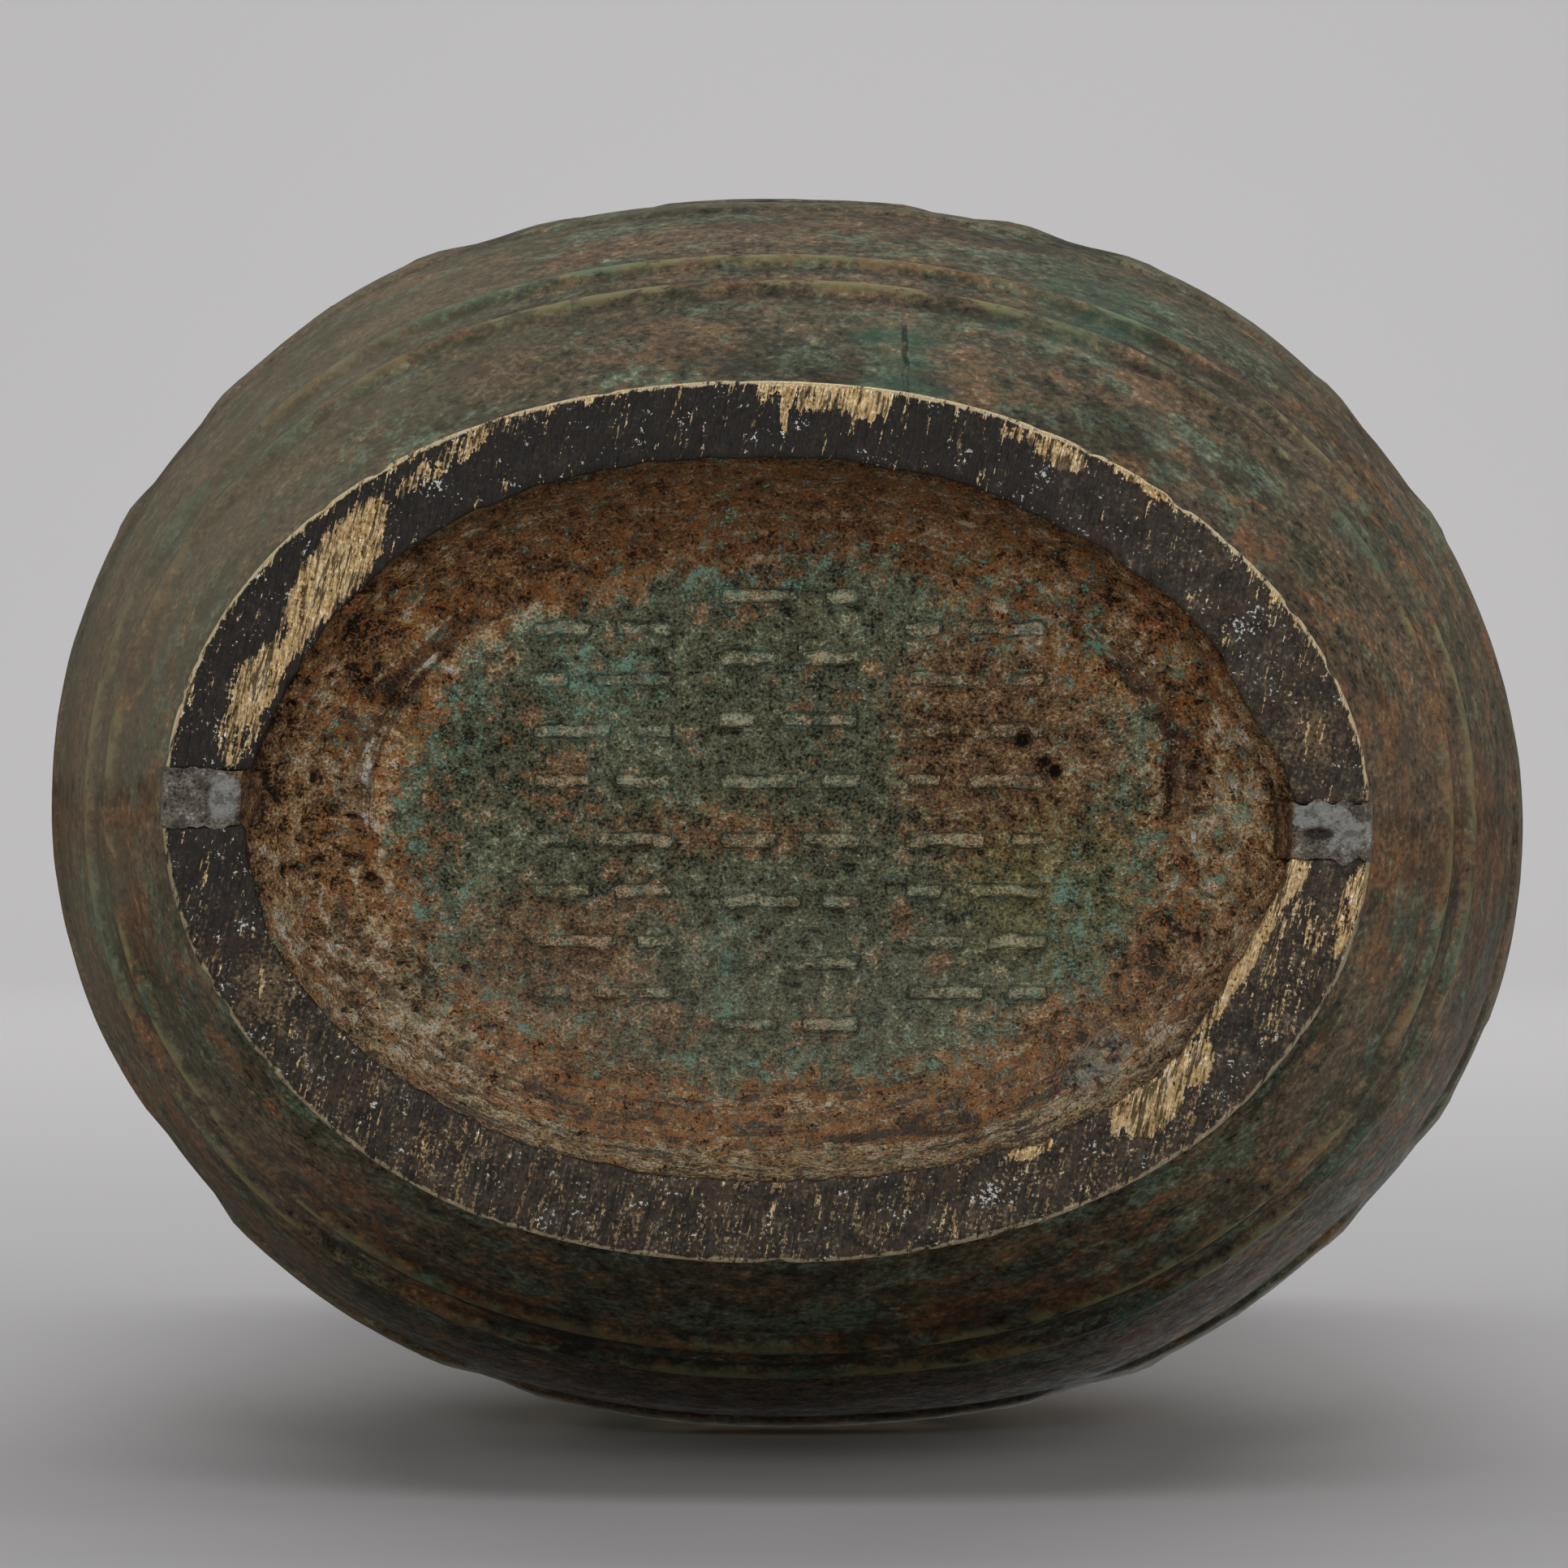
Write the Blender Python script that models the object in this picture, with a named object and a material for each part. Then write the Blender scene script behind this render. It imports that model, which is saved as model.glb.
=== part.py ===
# A bronze vase of oval section, after an archaic hu.
# It has a foot ring round a recessed base, a swelling belly with two bowstrings and a low frieze,
# a waisted neck and a flared mouth with a thicker lip. Two slots cross the foot ring and are
# filled with grey lead.
# Metres, +Z up. The origin is the middle of the foot's underside, and X is the oval's long axis.

import math

import bmesh
import bpy
from mathutils import Vector

# Heights above the foot's underside, and how far the narrowest part of the neck lies below the mouth
TOTAL_HEIGHT = 0.296
NECK_BELOW_MOUTH = 0.060
BELLY_HEIGHT = 0.105
WAIST_HEIGHT = 0.020
FOOT_BAND = 0.007

# Half lengths along X and half widths along Y of the outer form
MOUTH_HALF_LENGTH = 0.0560
MOUTH_HALF_WIDTH = 0.0470
NECK_HALF_LENGTH = 0.0460
NECK_HALF_WIDTH = 0.0375
BELLY_HALF_LENGTH = 0.0895
BELLY_HALF_WIDTH = 0.0748
WAIST_HALF_LENGTH = 0.0592
WAIST_HALF_WIDTH = 0.0418
FOOT_HALF_LENGTH = 0.0650
FOOT_HALF_WIDTH = 0.0473
OVAL_POWER = 2.1

# Walls, lip and edges
WALL = 0.0032
BASE_THICKNESS = 0.0045
INNER_FILLET = 0.010
LIP_HEIGHT = 0.0065
LIP_PROJECTION = 0.0015
LIP_ROUNDING = 0.0011
FOOT_ROUNDING = 0.0007

# The recess under the foot: a flat rim, a hollowed wall and a flat floor
RIM_WIDTH = 0.0086
RECESS_DEPTH = 0.012
RECESS_WALL_RUN_X = 0.0125
RECESS_WALL_RUN_Y = 0.0095

# Bowstrings: a pair below the frieze and a single one at the root of the neck
LOW_BOWSTRING_BELOW_BELLY = 0.055
LOW_BOWSTRING_SPACING = 0.0076
NECK_BOWSTRING_BELOW_NECK = 0.030
BOWSTRING_WIDTH = 0.0034
BOWSTRING_CREST = 0.0014
BOWSTRING_RISE = 0.0012

# Frieze of nested rectangles in low relief round the belly
FRIEZE_BELOW_BELLY = 0.023
FRIEZE_ABOVE_BELLY = 0.037
FRIEZE_RELIEF = 0.0009

# Edges of the frieze's panels, in degrees from the end of the long axis
END_PANEL_EDGE = 30.0
SIDE_PANEL_START = 40.0
SIDE_PANEL_END = 65.0
FRONT_PANEL_EDGE = 70.0

# Slots through the foot ring at both ends of the long axis, and their lead fills
SLOT_WIDTH = 0.0056
SLOT_HEIGHT = 0.006
LEFT_SLOT_Y = -0.0027
RIGHT_SLOT_Y = 0.0009
FILL_CLEARANCE = 0.0003

# Raised strokes on the recessed base: three columns of two blocks, each of a few rows
STROKE_WIDTH = 0.0019
STROKE_RISE = 0.0008
STROKE_GAP = 0.0024
BLOCK_LENGTH = 0.0155
MIDDLE_BLOCK_WIDTH = 0.0220
OUTER_BLOCK_WIDTH = 0.0185
BLOCK_PITCH_X = 0.0203
BLOCK_GAP_Y = 0.0045
BLOCKS_MIDDLE_X = 0.0024
BLOCKS_MIDDLE_Y = -0.0012
FIRST_PARTING = 0.0054
PARTING_STEP = 0.0023

# Counts that set how finely the form is faceted
COLUMNS = 72
CAVITY_COLUMNS = 36
RECESS_COLUMNS = 48
FRIEZE_ROWS = 8
STROKE_ROWS = 4

# How far a cutter runs past the face that it opens, and how deep a stroke is rooted
OVERSHOOT = 0.010
STROKE_ROOT = 0.0006

NECK_HEIGHT = TOTAL_HEIGHT - NECK_BELOW_MOUTH

FOOT = (FOOT_HALF_LENGTH, FOOT_HALF_WIDTH)
RIM_INNER_EDGE = (FOOT_HALF_LENGTH - RIM_WIDTH, FOOT_HALF_WIDTH - RIM_WIDTH)
RECESS_FLOOR = (RIM_INNER_EDGE[0] - RECESS_WALL_RUN_X, RIM_INNER_EDGE[1] - RECESS_WALL_RUN_Y)
WAIST = (WAIST_HALF_LENGTH, WAIST_HALF_WIDTH)
BELLY = (BELLY_HALF_LENGTH, BELLY_HALF_WIDTH)
NECK = (NECK_HALF_LENGTH, NECK_HALF_WIDTH)
MOUTH = (MOUTH_HALF_LENGTH, MOUTH_HALF_WIDTH)


def clear_scene():
    for thing in list(bpy.data.objects):
        bpy.data.objects.remove(thing, do_unlink=True)


def make_collection(name):
    collection = bpy.data.collections.new(name)
    bpy.context.scene.collection.children.link(collection)
    return collection


def make_material(name, colour, roughness, metallic):
    material = bpy.data.materials.new(name)
    material.use_nodes = True
    shader = material.node_tree.nodes["Principled BSDF"]
    shader.inputs["Base Color"].default_value = (*colour, 1.0)
    shader.inputs["Roughness"].default_value = roughness
    shader.inputs["Metallic"].default_value = metallic
    return material


def blend(start, end, share):
    """The oval that lies a share of the way from one oval to another."""
    return tuple(low + (high - low) * share for low, high in zip(start, end))


def grow(halves, amount):
    """An oval whose half length and half width are both larger by an amount."""
    return tuple(half + amount for half in halves)


def body_halves(height):
    """Half length and half width of the plain outer form at a height."""
    if height <= FOOT_BAND:
        return FOOT
    if height <= WAIST_HEIGHT:
        drop = (WAIST_HEIGHT - height) / (WAIST_HEIGHT - FOOT_BAND)
        return blend(WAIST, FOOT, drop ** 2)
    if height <= BELLY_HEIGHT:
        drop = (BELLY_HEIGHT - height) / (BELLY_HEIGHT - WAIST_HEIGHT)
        return blend(BELLY, WAIST, drop ** 2)
    if height <= NECK_HEIGHT:
        rise = (height - BELLY_HEIGHT) / (NECK_HEIGHT - BELLY_HEIGHT)
        return blend(BELLY, NECK, (1.0 - math.cos(math.pi * rise)) / 2.0)
    rise = (height - NECK_HEIGHT) / NECK_BELOW_MOUTH
    return blend(NECK, MOUTH, rise ** 2)


def oval_point(halves, height, angle):
    """Point of a slightly squared oval at an angle from +X."""
    across = math.cos(angle)
    along = math.sin(angle)
    x = halves[0] * math.copysign(abs(across) ** (2.0 / OVAL_POWER), across)
    y = halves[1] * math.copysign(abs(along) ** (2.0 / OVAL_POWER), along)
    return Vector((x, y, height))


def spaced(start, end, steps):
    """Evenly spaced values after start, up to end."""
    return [start + (end - start) * step / steps for step in range(1, steps + 1)]


def bowstring(middle):
    """Rings across one bowstring, as heights and how far each stands out."""
    return [
        (middle - BOWSTRING_WIDTH / 2.0, 0.0),
        (middle - BOWSTRING_CREST / 2.0, BOWSTRING_RISE),
        (middle + BOWSTRING_CREST / 2.0, BOWSTRING_RISE),
        (middle + BOWSTRING_WIDTH / 2.0, 0.0),
    ]


def plain_rings(start, end, steps):
    """Rings on the plain form after start, up to end."""
    return [(height, 0.0) for height in spaced(start, end, steps)]


def rings_below_frieze():
    """Rings of the foot, the lower body and its pair of bowstrings."""
    low_middle = BELLY_HEIGHT - LOW_BOWSTRING_BELOW_BELLY
    low = bowstring(low_middle)
    high = bowstring(low_middle + LOW_BOWSTRING_SPACING)
    rings = [(0.0, -FOOT_ROUNDING), (FOOT_ROUNDING, 0.0), (FOOT_BAND, 0.0)]
    rings += plain_rings(FOOT_BAND, WAIST_HEIGHT, 3)
    rings += plain_rings(WAIST_HEIGHT, low[0][0], 3)
    rings += low[1:]
    rings += high
    rings += plain_rings(high[-1][0], BELLY_HEIGHT - FRIEZE_BELOW_BELLY, 2)
    return rings


def rings_above_frieze():
    """Rings of the shoulder, the neck and the lip."""
    neck = bowstring(NECK_HEIGHT - NECK_BOWSTRING_BELOW_NECK)
    lip_bottom = TOTAL_HEIGHT - LIP_HEIGHT
    rings = plain_rings(BELLY_HEIGHT + FRIEZE_ABOVE_BELLY, neck[0][0], 4)
    rings += neck[1:]
    rings += plain_rings(neck[-1][0], NECK_HEIGHT, 2)
    rings += plain_rings(NECK_HEIGHT, lip_bottom, 4)
    rings += [
        (lip_bottom + LIP_ROUNDING, LIP_PROJECTION),
        (TOTAL_HEIGHT - LIP_ROUNDING, LIP_PROJECTION),
        (TOTAL_HEIGHT, LIP_PROJECTION - LIP_ROUNDING),
    ]
    return rings


def outer_rings():
    """Every ring of the outer form, from the foot's underside to the top of the lip."""
    frieze_bottom = BELLY_HEIGHT - FRIEZE_BELOW_BELLY
    frieze_top = BELLY_HEIGHT + FRIEZE_ABOVE_BELLY
    rings = rings_below_frieze()
    rings += plain_rings(frieze_bottom, frieze_top, FRIEZE_ROWS)
    rings += rings_above_frieze()
    return [(grow(body_halves(height), extra), height) for height, extra in rings]


def loft(rings, columns):
    """Closed bmesh through ovals from the bottom up, and its side faces by row and column."""
    form = bmesh.new()
    angles = [math.tau * column / columns for column in range(columns)]
    rows = []
    for halves, height in rings:
        rows.append([form.verts.new(oval_point(halves, height, angle)) for angle in angles])
    sides = {}
    for row, (lower, upper) in enumerate(zip(rows, rows[1:])):
        for column in range(columns):
            after = (column + 1) % columns
            corners = (lower[column], lower[after], upper[after], upper[column])
            sides[row, column] = form.faces.new(corners)
    form.faces.new(reversed(rows[0]))
    form.faces.new(rows[-1])
    return form, sides


def panel_spans():
    """First and last column of each panel of the frieze, counted from the +X end."""
    panels = (
        (-END_PANEL_EDGE, END_PANEL_EDGE),
        (SIDE_PANEL_START, SIDE_PANEL_END),
        (FRONT_PANEL_EDGE, 180.0 - FRONT_PANEL_EDGE),
        (180.0 - SIDE_PANEL_END, 180.0 - SIDE_PANEL_START),
    )
    spans = []
    for turn in (0.0, 180.0):
        for start, end in panels:
            first = round((turn + start) * COLUMNS / 360.0)
            last = round((turn + end) * COLUMNS / 360.0) - 1
            spans.append((first, last))
    return spans


def raised_cells():
    """Rows and columns of the frieze's cells that stand out: nested rectangles in each panel."""
    cells = []
    for first, last in panel_spans():
        for column in range(first, last + 1):
            for row in range(FRIEZE_ROWS):
                depth = min(column - first, last - column, row, FRIEZE_ROWS - 1 - row)
                if depth % 2 == 0:
                    cells.append((row, column % COLUMNS))
    return cells


def raise_frieze(form, sides):
    """Push the frieze's raised cells straight out from the belly."""
    first_row = len(rings_below_frieze()) - 1
    cells = [sides[first_row + row, column] for row, column in raised_cells()]
    result = bmesh.ops.extrude_face_region(form, geom=cells)
    bmesh.ops.delete(form, geom=cells, context="FACES")
    moved = [item for item in result["geom"] if isinstance(item, bmesh.types.BMVert)]
    for vert in moved:
        outward = Vector((vert.co.x / BELLY_HALF_LENGTH ** 2, vert.co.y / BELLY_HALF_WIDTH ** 2, 0.0))
        vert.co += outward.normalized() * FRIEZE_RELIEF


def cavity_rings():
    """The hollow inside: it follows the outer form at one wall's thickness, over a rounded floor."""
    floor = RECESS_DEPTH + BASE_THICKNESS
    rings = []
    for turn in [0.0] + spaced(0.0, math.pi / 2.0, 3):
        level = floor + INNER_FILLET * (1.0 - math.cos(turn))
        inset = INNER_FILLET * (1.0 - math.sin(turn))
        rings.append((grow(body_halves(level), -WALL - inset), level))
    heights = spaced(floor + INNER_FILLET, BELLY_HEIGHT, 4)
    heights += spaced(BELLY_HEIGHT, NECK_HEIGHT, 4)
    heights += spaced(NECK_HEIGHT, TOTAL_HEIGHT, 2)
    rings += [(grow(body_halves(height), -WALL), height) for height in heights]
    rings.append((grow(MOUTH, -WALL), TOTAL_HEIGHT + OVERSHOOT))
    return rings


def recess_rings():
    """The hollow under the base: quarter-round from the rim's inner edge to the floor."""
    rings = [(RIM_INNER_EDGE, -OVERSHOOT)]
    for turn in [0.0] + spaced(0.0, math.pi / 2.0, 4):
        halves = blend(RECESS_FLOOR, RIM_INNER_EDGE, math.cos(turn))
        rings.append((halves, RECESS_DEPTH * math.sin(turn)))
    return rings


def block_boxes(column, side):
    """Corners of the strokes of one block: two strokes to a row, parted at a place that steps."""
    width = MIDDLE_BLOCK_WIDTH if column == 0 else OUTER_BLOCK_WIDTH
    start = BLOCKS_MIDDLE_X + column * BLOCK_PITCH_X - BLOCK_LENGTH / 2.0
    end = start + BLOCK_LENGTH
    row_pitch = (width - STROKE_WIDTH) / (STROKE_ROWS - 1)
    boxes = []
    for row in range(STROKE_ROWS):
        distance = (BLOCK_GAP_Y + STROKE_WIDTH) / 2.0 + row * row_pitch
        y = BLOCKS_MIDDLE_Y + side * distance
        parting = start + FIRST_PARTING + PARTING_STEP * ((row + column + side) % 3)
        for low_x, high_x in ((start, parting - STROKE_GAP / 2.0), (parting + STROKE_GAP / 2.0, end)):
            low = Vector((low_x, y - STROKE_WIDTH / 2.0, RECESS_DEPTH - STROKE_RISE))
            high = Vector((high_x, y + STROKE_WIDTH / 2.0, RECESS_DEPTH + STROKE_ROOT))
            boxes.append((low, high))
    return boxes


def add_box(form, low, high):
    """Add a box between two corners to a bmesh."""
    made = bmesh.ops.create_cube(form, size=1.0)
    for vert in made["verts"]:
        share = vert.co + Vector((0.5, 0.5, 0.5))
        vert.co = low + Vector((high - low)[axis] * share[axis] for axis in range(3))


def finish_mesh(form, name, material, collection):
    """Turn a bmesh into a named object, smooth except at its edges."""
    bmesh.ops.recalc_face_normals(form, faces=form.faces)
    mesh = bpy.data.meshes.new(name)
    form.to_mesh(mesh)
    form.free()
    mesh.shade_smooth()
    mesh.set_sharp_from_angle(angle=math.radians(32.0))
    if material:
        mesh.materials.append(material)
    thing = bpy.data.objects.new(name, mesh)
    collection.objects.link(thing)
    return thing


def make_guide(thing):
    """Keep a cutter out of the finished model."""
    thing.hide_render = True
    thing.display_type = "WIRE"
    return thing


def add_boolean(thing, other, operation):
    modifier = thing.modifiers.new(f"{operation.lower()} {other.name}", "BOOLEAN")
    modifier.operation = operation
    modifier.solver = "EXACT"
    modifier.object = other


def make_loft_guide(name, rings, columns, collection):
    form, _ = loft(rings, columns)
    return make_guide(finish_mesh(form, name, None, collection))


def make_strokes(collection):
    """All the raised strokes of the base in one mesh."""
    form = bmesh.new()
    for column in (-1, 0, 1):
        for side in (-1, 1):
            for low, high in block_boxes(column, side):
                add_box(form, low, high)
    return make_guide(finish_mesh(form, "base_strokes", None, collection))


def slot_corners(side, middle_y, clearance):
    """Low and high corners of the slot at one end of the long axis, less a clearance."""
    near = FOOT_HALF_LENGTH - 2.0 * RIM_WIDTH
    far = FOOT_HALF_LENGTH + OVERSHOOT
    half = SLOT_WIDTH / 2.0 - clearance
    low_x, high_x = sorted((side * near, side * far))
    low = Vector((low_x, middle_y - half, -OVERSHOOT))
    high = Vector((high_x, middle_y + half, SLOT_HEIGHT - clearance))
    return low, high


def make_slot_box(name, side, middle_y, clearance, material, collection):
    form = bmesh.new()
    add_box(form, *slot_corners(side, middle_y, clearance))
    return finish_mesh(form, name, material, collection)


def make_body(material, collection):
    """The casting's outer form with its frieze, before it is hollowed."""
    form, sides = loft(outer_rings(), COLUMNS)
    raise_frieze(form, sides)
    return finish_mesh(form, "vase_body", material, collection)


def main():
    clear_scene()
    vase = make_collection("bronze_vase")
    guides = make_collection("cutters")
    bronze = make_material("patinated_bronze", (0.13, 0.105, 0.075), 0.58, 0.55)
    lead = make_material("grey_lead", (0.33, 0.33, 0.34), 0.55, 0.60)

    outer = make_loft_guide("outer_form", outer_rings(), COLUMNS, guides)
    cavity = make_loft_guide("cavity", cavity_rings(), CAVITY_COLUMNS, guides)
    recess = make_loft_guide("recess", recess_rings(), RECESS_COLUMNS, guides)
    strokes = make_strokes(guides)

    body = make_body(bronze, vase)
    add_boolean(body, cavity, "DIFFERENCE")
    add_boolean(body, recess, "DIFFERENCE")
    add_boolean(body, strokes, "UNION")

    for name, side, middle_y in (("left", -1, LEFT_SLOT_Y), ("right", 1, RIGHT_SLOT_Y)):
        slot = make_slot_box(f"{name}_slot", side, middle_y, 0.0, None, guides)
        add_boolean(body, make_guide(slot), "DIFFERENCE")
        fill = make_slot_box(f"lead_fill_{name}", side, middle_y, FILL_CLEARANCE, lead, vase)
        add_boolean(fill, outer, "INTERSECT")
        add_boolean(fill, recess, "DIFFERENCE")


main()
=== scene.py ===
import math
from collections import namedtuple
from functools import reduce

import bmesh
import bpy
from mathutils import Matrix, Vector, noise
from mathutils.geometry import delaunay_2d_cdt


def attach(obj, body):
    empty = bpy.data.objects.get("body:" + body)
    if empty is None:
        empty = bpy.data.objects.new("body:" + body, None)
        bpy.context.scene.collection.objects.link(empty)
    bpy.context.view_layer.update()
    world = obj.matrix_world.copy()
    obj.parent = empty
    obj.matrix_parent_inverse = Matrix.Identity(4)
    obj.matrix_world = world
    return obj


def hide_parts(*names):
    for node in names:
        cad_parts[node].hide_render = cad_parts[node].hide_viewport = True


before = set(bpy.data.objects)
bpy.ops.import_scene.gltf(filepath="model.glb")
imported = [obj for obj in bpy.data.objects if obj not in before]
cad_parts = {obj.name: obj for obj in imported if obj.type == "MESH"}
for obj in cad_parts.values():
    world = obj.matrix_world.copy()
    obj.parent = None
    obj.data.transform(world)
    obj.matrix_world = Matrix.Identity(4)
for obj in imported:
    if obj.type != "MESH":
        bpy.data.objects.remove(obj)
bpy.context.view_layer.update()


# Shader helpers: a wire is one socket of a shader, and arithmetic on wires adds Math nodes
class Wire:
    def __init__(self, shader, socket):
        self.shader = shader
        self.socket = socket

    def math(self, operation, first, second):
        return self.shader.add("Math", {"operation": operation}, {0: first, 1: second})

    def __add__(self, other):
        return self.math("ADD", self, other)

    def __sub__(self, other):
        return self.math("SUBTRACT", self, other)

    def __rsub__(self, other):
        return self.math("SUBTRACT", other, self)

    def __mul__(self, other):
        return self.math("MULTIPLY", self, other)

    __radd__ = __add__
    __rmul__ = __mul__


def hexTint(code):
    shares = [int(code[start:start + 2], 16) / 255.0 for start in (1, 3, 5)]
    return [((share + 0.055) / 1.055) ** 2.4 if share > 0.04 else share / 12.92 for share in shares] + [1.0]


class NodeTree:
    def __init__(self, owner):  # a material or the world
        owner.use_nodes = True
        self.owner = owner
        self.tree = owner.node_tree

    def add(self, kind, settings=None, inputs=None, output=0):
        node = self.tree.nodes.new("ShaderNode" + kind)
        settings = dict(settings or {})
        stops = settings.pop("stops", None)
        for name, value in settings.items():
            setattr(node, name, value)
        if stops:
            ramp = node.color_ramp
            while len(ramp.elements) < len(stops):
                ramp.elements.new(0.5)
            for element, (position, tint) in zip(ramp.elements, stops):
                element.position = position
                element.color = hexTint(tint)
        for name, value in (inputs or {}).items():
            self.feed(node.inputs[name], value)
        return Wire(self, node.outputs[output])

    def feed(self, socket, value):
        if isinstance(value, Wire):
            self.tree.links.new(value.socket, socket)
        elif isinstance(value, str):
            socket.default_value = hexTint(value)
        else:
            socket.default_value = value

    def output(self, surface):
        kind = "OUTPUT_WORLD" if self.tree.nodes.get("World Output") else "OUTPUT_MATERIAL"
        last = next(node for node in self.tree.nodes if node.type == kind)
        self.tree.links.new(surface.socket, last.inputs["Surface"])


class Shader(NodeTree):
    def __init__(self, name):
        super().__init__(bpy.data.materials.new(name))
        self.surface = self.tree.nodes["Principled BSDF"]
        metres = self.add("TexCoord", output="Object")
        # places are in millimetres
        self.place = self.add("VectorMath", {"operation": "SCALE"}, {0: metres, "Scale": 1000.0})
        self.x, self.y, self.z = self.split("SeparateXYZ", self.place)

    def split(self, kind, value):
        first = self.add(kind, inputs={0: value})
        return [Wire(self, socket) for socket in first.socket.node.outputs]

    def moved(self, shift, scale=(1.0, 1.0, 1.0), turn=0.0, vector=None):
        inputs = {"Vector": vector or self.place, "Location": shift, "Scale": scale}
        inputs["Rotation"] = (0.0, 0.0, math.radians(turn))
        return self.add("Mapping", {"vector_type": "POINT"}, inputs)

    def grain(self, size, detail, rough, vector=None, output=0):
        inputs = {"Vector": vector or self.place, "Scale": 1.0 / size, "Detail": detail, "Roughness": rough}
        return self.add("TexNoise", {}, inputs, output)

    # three unlike grains for the price of one texture
    def grains(self, *settings):
        return self.split("SeparateColor", self.grain(*settings, output=1))

    def value(self, name):
        return self.add("Attribute", {"attribute_name": name}, output="Fac")

    def highest(self, first, second):
        return self.add("Math", {"operation": "MAXIMUM"}, {0: first, 1: second})

    def absolute(self, value):
        return self.add("Math", {"operation": "ABSOLUTE"}, {0: value})

    def ramp(self, value, *stops):
        return self.add("ValToRGB", {"stops": stops}, {0: value})

    # a place on a drum of this radius, so that patches run round the vase
    def belt(self, radius, shift=(0.0, 0.0, 0.0)):
        flat = self.add("VectorMath", {"operation": "MULTIPLY"}, {0: self.place, 1: (1.0, 1.2, 0.0)})
        way = self.add("VectorMath", {"operation": "NORMALIZE"}, {0: flat})
        ring = self.add("VectorMath", {"operation": "SCALE"}, {0: way, "Scale": radius})
        level = self.add("CombineXYZ", inputs={"Z": self.z})
        drum = self.add("VectorMath", {"operation": "ADD"}, {0: ring, 1: level})
        return self.moved(shift, vector=drum)

    def step(self, value, low, high):
        inputs = {"Value": value, "From Min": low, "From Max": high}
        return self.add("MapRange", {"interpolation_type": "SMOOTHSTEP"}, inputs)

    def mix(self, factor, first, second):
        return self.add("Mix", {"data_type": "RGBA"}, {0: factor, 6: first, 7: second}, output=2)

    # 1 at its middle, 0 at its edge, below 0 outside
    def spot(self, middle, radii, turn=0.0):
        inputs = {
            "Vector": self.place,
            "Location": (*middle, 0.0),
            "Rotation": (0.0, 0.0, math.radians(turn)),
            "Scale": (*radii, 1000.0),
        }
        local = self.add("Mapping", {"vector_type": "TEXTURE"}, inputs)
        return 1.0 - self.add("VectorMath", {"operation": "LENGTH"}, {0: local}, output="Value")

    def bump(self, height, distance):
        return self.add("Bump", {}, {"Height": height, "Distance": distance, "Strength": 1.0})

    def finish(self, **looks):
        for name, value in looks.items():
            self.feed(self.surface.inputs[name.replace("_", " ")], value)
        return self.owner


# The vase's form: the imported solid's own sizes in metres, as half lengths and half widths
vase = {
    "top": 0.296,
    "neck": 0.236,
    "belly": 0.105,
    "waist": 0.020,
    "footBand": 0.007,
    "mouthHalves": (0.0560, 0.0470),
    "neckHalves": (0.0460, 0.0375),
    "bellyHalves": (0.0895, 0.0748),
    "waistHalves": (0.0592, 0.0418),
    "footHalves": (0.0650, 0.0473),
    "ovalPower": 2.1,
    "wall": 0.0032,
    "lipHeight": 0.0065,
    "lipProjection": 0.0015,
    "lipRounding": 0.0011,
    "footRounding": 0.0006,
    "rimWidth": 0.0086,
    "recessDepth": 0.012,
    "recessRun": (0.0125, 0.0095),
    "recessShift": (0.0005, -0.0003),  # how far the recess lies off the middle
    "baseThickness": 0.0045,
    "innerFillet": 0.010,
}

bowstrings = {"heights": (0.0500, 0.0576, 0.2060), "width": 0.0034, "rise": 0.00075}

frieze = {
    "bottom": 0.082,
    "top": 0.142,
    "rows": 8,
    "relief": 0.0007,
    "columns": 72,
    "columnWidth": 5,  # degrees
    "columnPlaces": (0.5, 1.6, 3.4, 4.5),  # degrees, in each column
    "rowPlaces": (0.08, 0.28, 0.72, 0.92),  # share of a row's height
    "fieldTurns": (-0.75, 0.0, 0.75),  # degrees
    "fieldLifts": (-0.0009, 0.0, 0.0009),
    "panels": ((-30, 30), (40, 65), (70, 110), (115, 140), (150, 210), (220, 245), (250, 290), (295, 320)),
}

strokes = {
    "width": 0.0019,
    "rise": 0.00120,
    "gap": 0.0024,
    "blockLength": 0.0155,
    "middleBlockWidth": 0.0220,
    "outerBlockWidth": 0.0185,
    "pitchX": 0.0203,
    "gapY": 0.0045,
    "middle": (0.0024, -0.0012),
    "firstParting": 0.0054,
    "partingStep": 0.0023,
    "rows": 4,
    "wobble": 0.00035,
    "fineWobble": 0.0002,
    "corner": 0.0005,  # how round a stroke's corners are
    "reach": 0.002,  # farther off, a stroke raises nothing
    "foot": 0.00015,  # how far a stroke's slope runs out beside it
    "softness": 0.00060,
}

slots = {
    "width": 0.0056,
    "height": 0.006,
    "depth": 0.0012,
    "startX": 0.050,  # nearer the middle there is no slot
    "leftY": -0.0027,
    "rightY": 0.0009,
}

# where edges are worn or bent off the plain oval: a place's middle and reach in degrees from +X,
# and how far outward its middle lies, in millimetres
wornPlaces = {
    "inner": (
        (22, 24, -2.3),
        (60, 18, 0.4),
        (142, 38, -0.6),
        (203, 26, -1.0),
        (250, 34, 0.4),
        (318, 40, -2.0),
        (342, 18, -2.1),
    ),
    "outer": (
        (30, 15, -0.3),
        (150, 36, -1.4),
        (237, 55, 0.5),
        (322, 44, -1.2),
    ),
    "belly": (
        (20, 36, 0.5),
        (64, 22, 1.1),
        (151, 36, -1.5),
        (215, 34, 0.5),
        (240, 26, 1.4),
        (301, 18, 0.7),
        (333, 24, -0.75),
    ),
}

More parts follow.
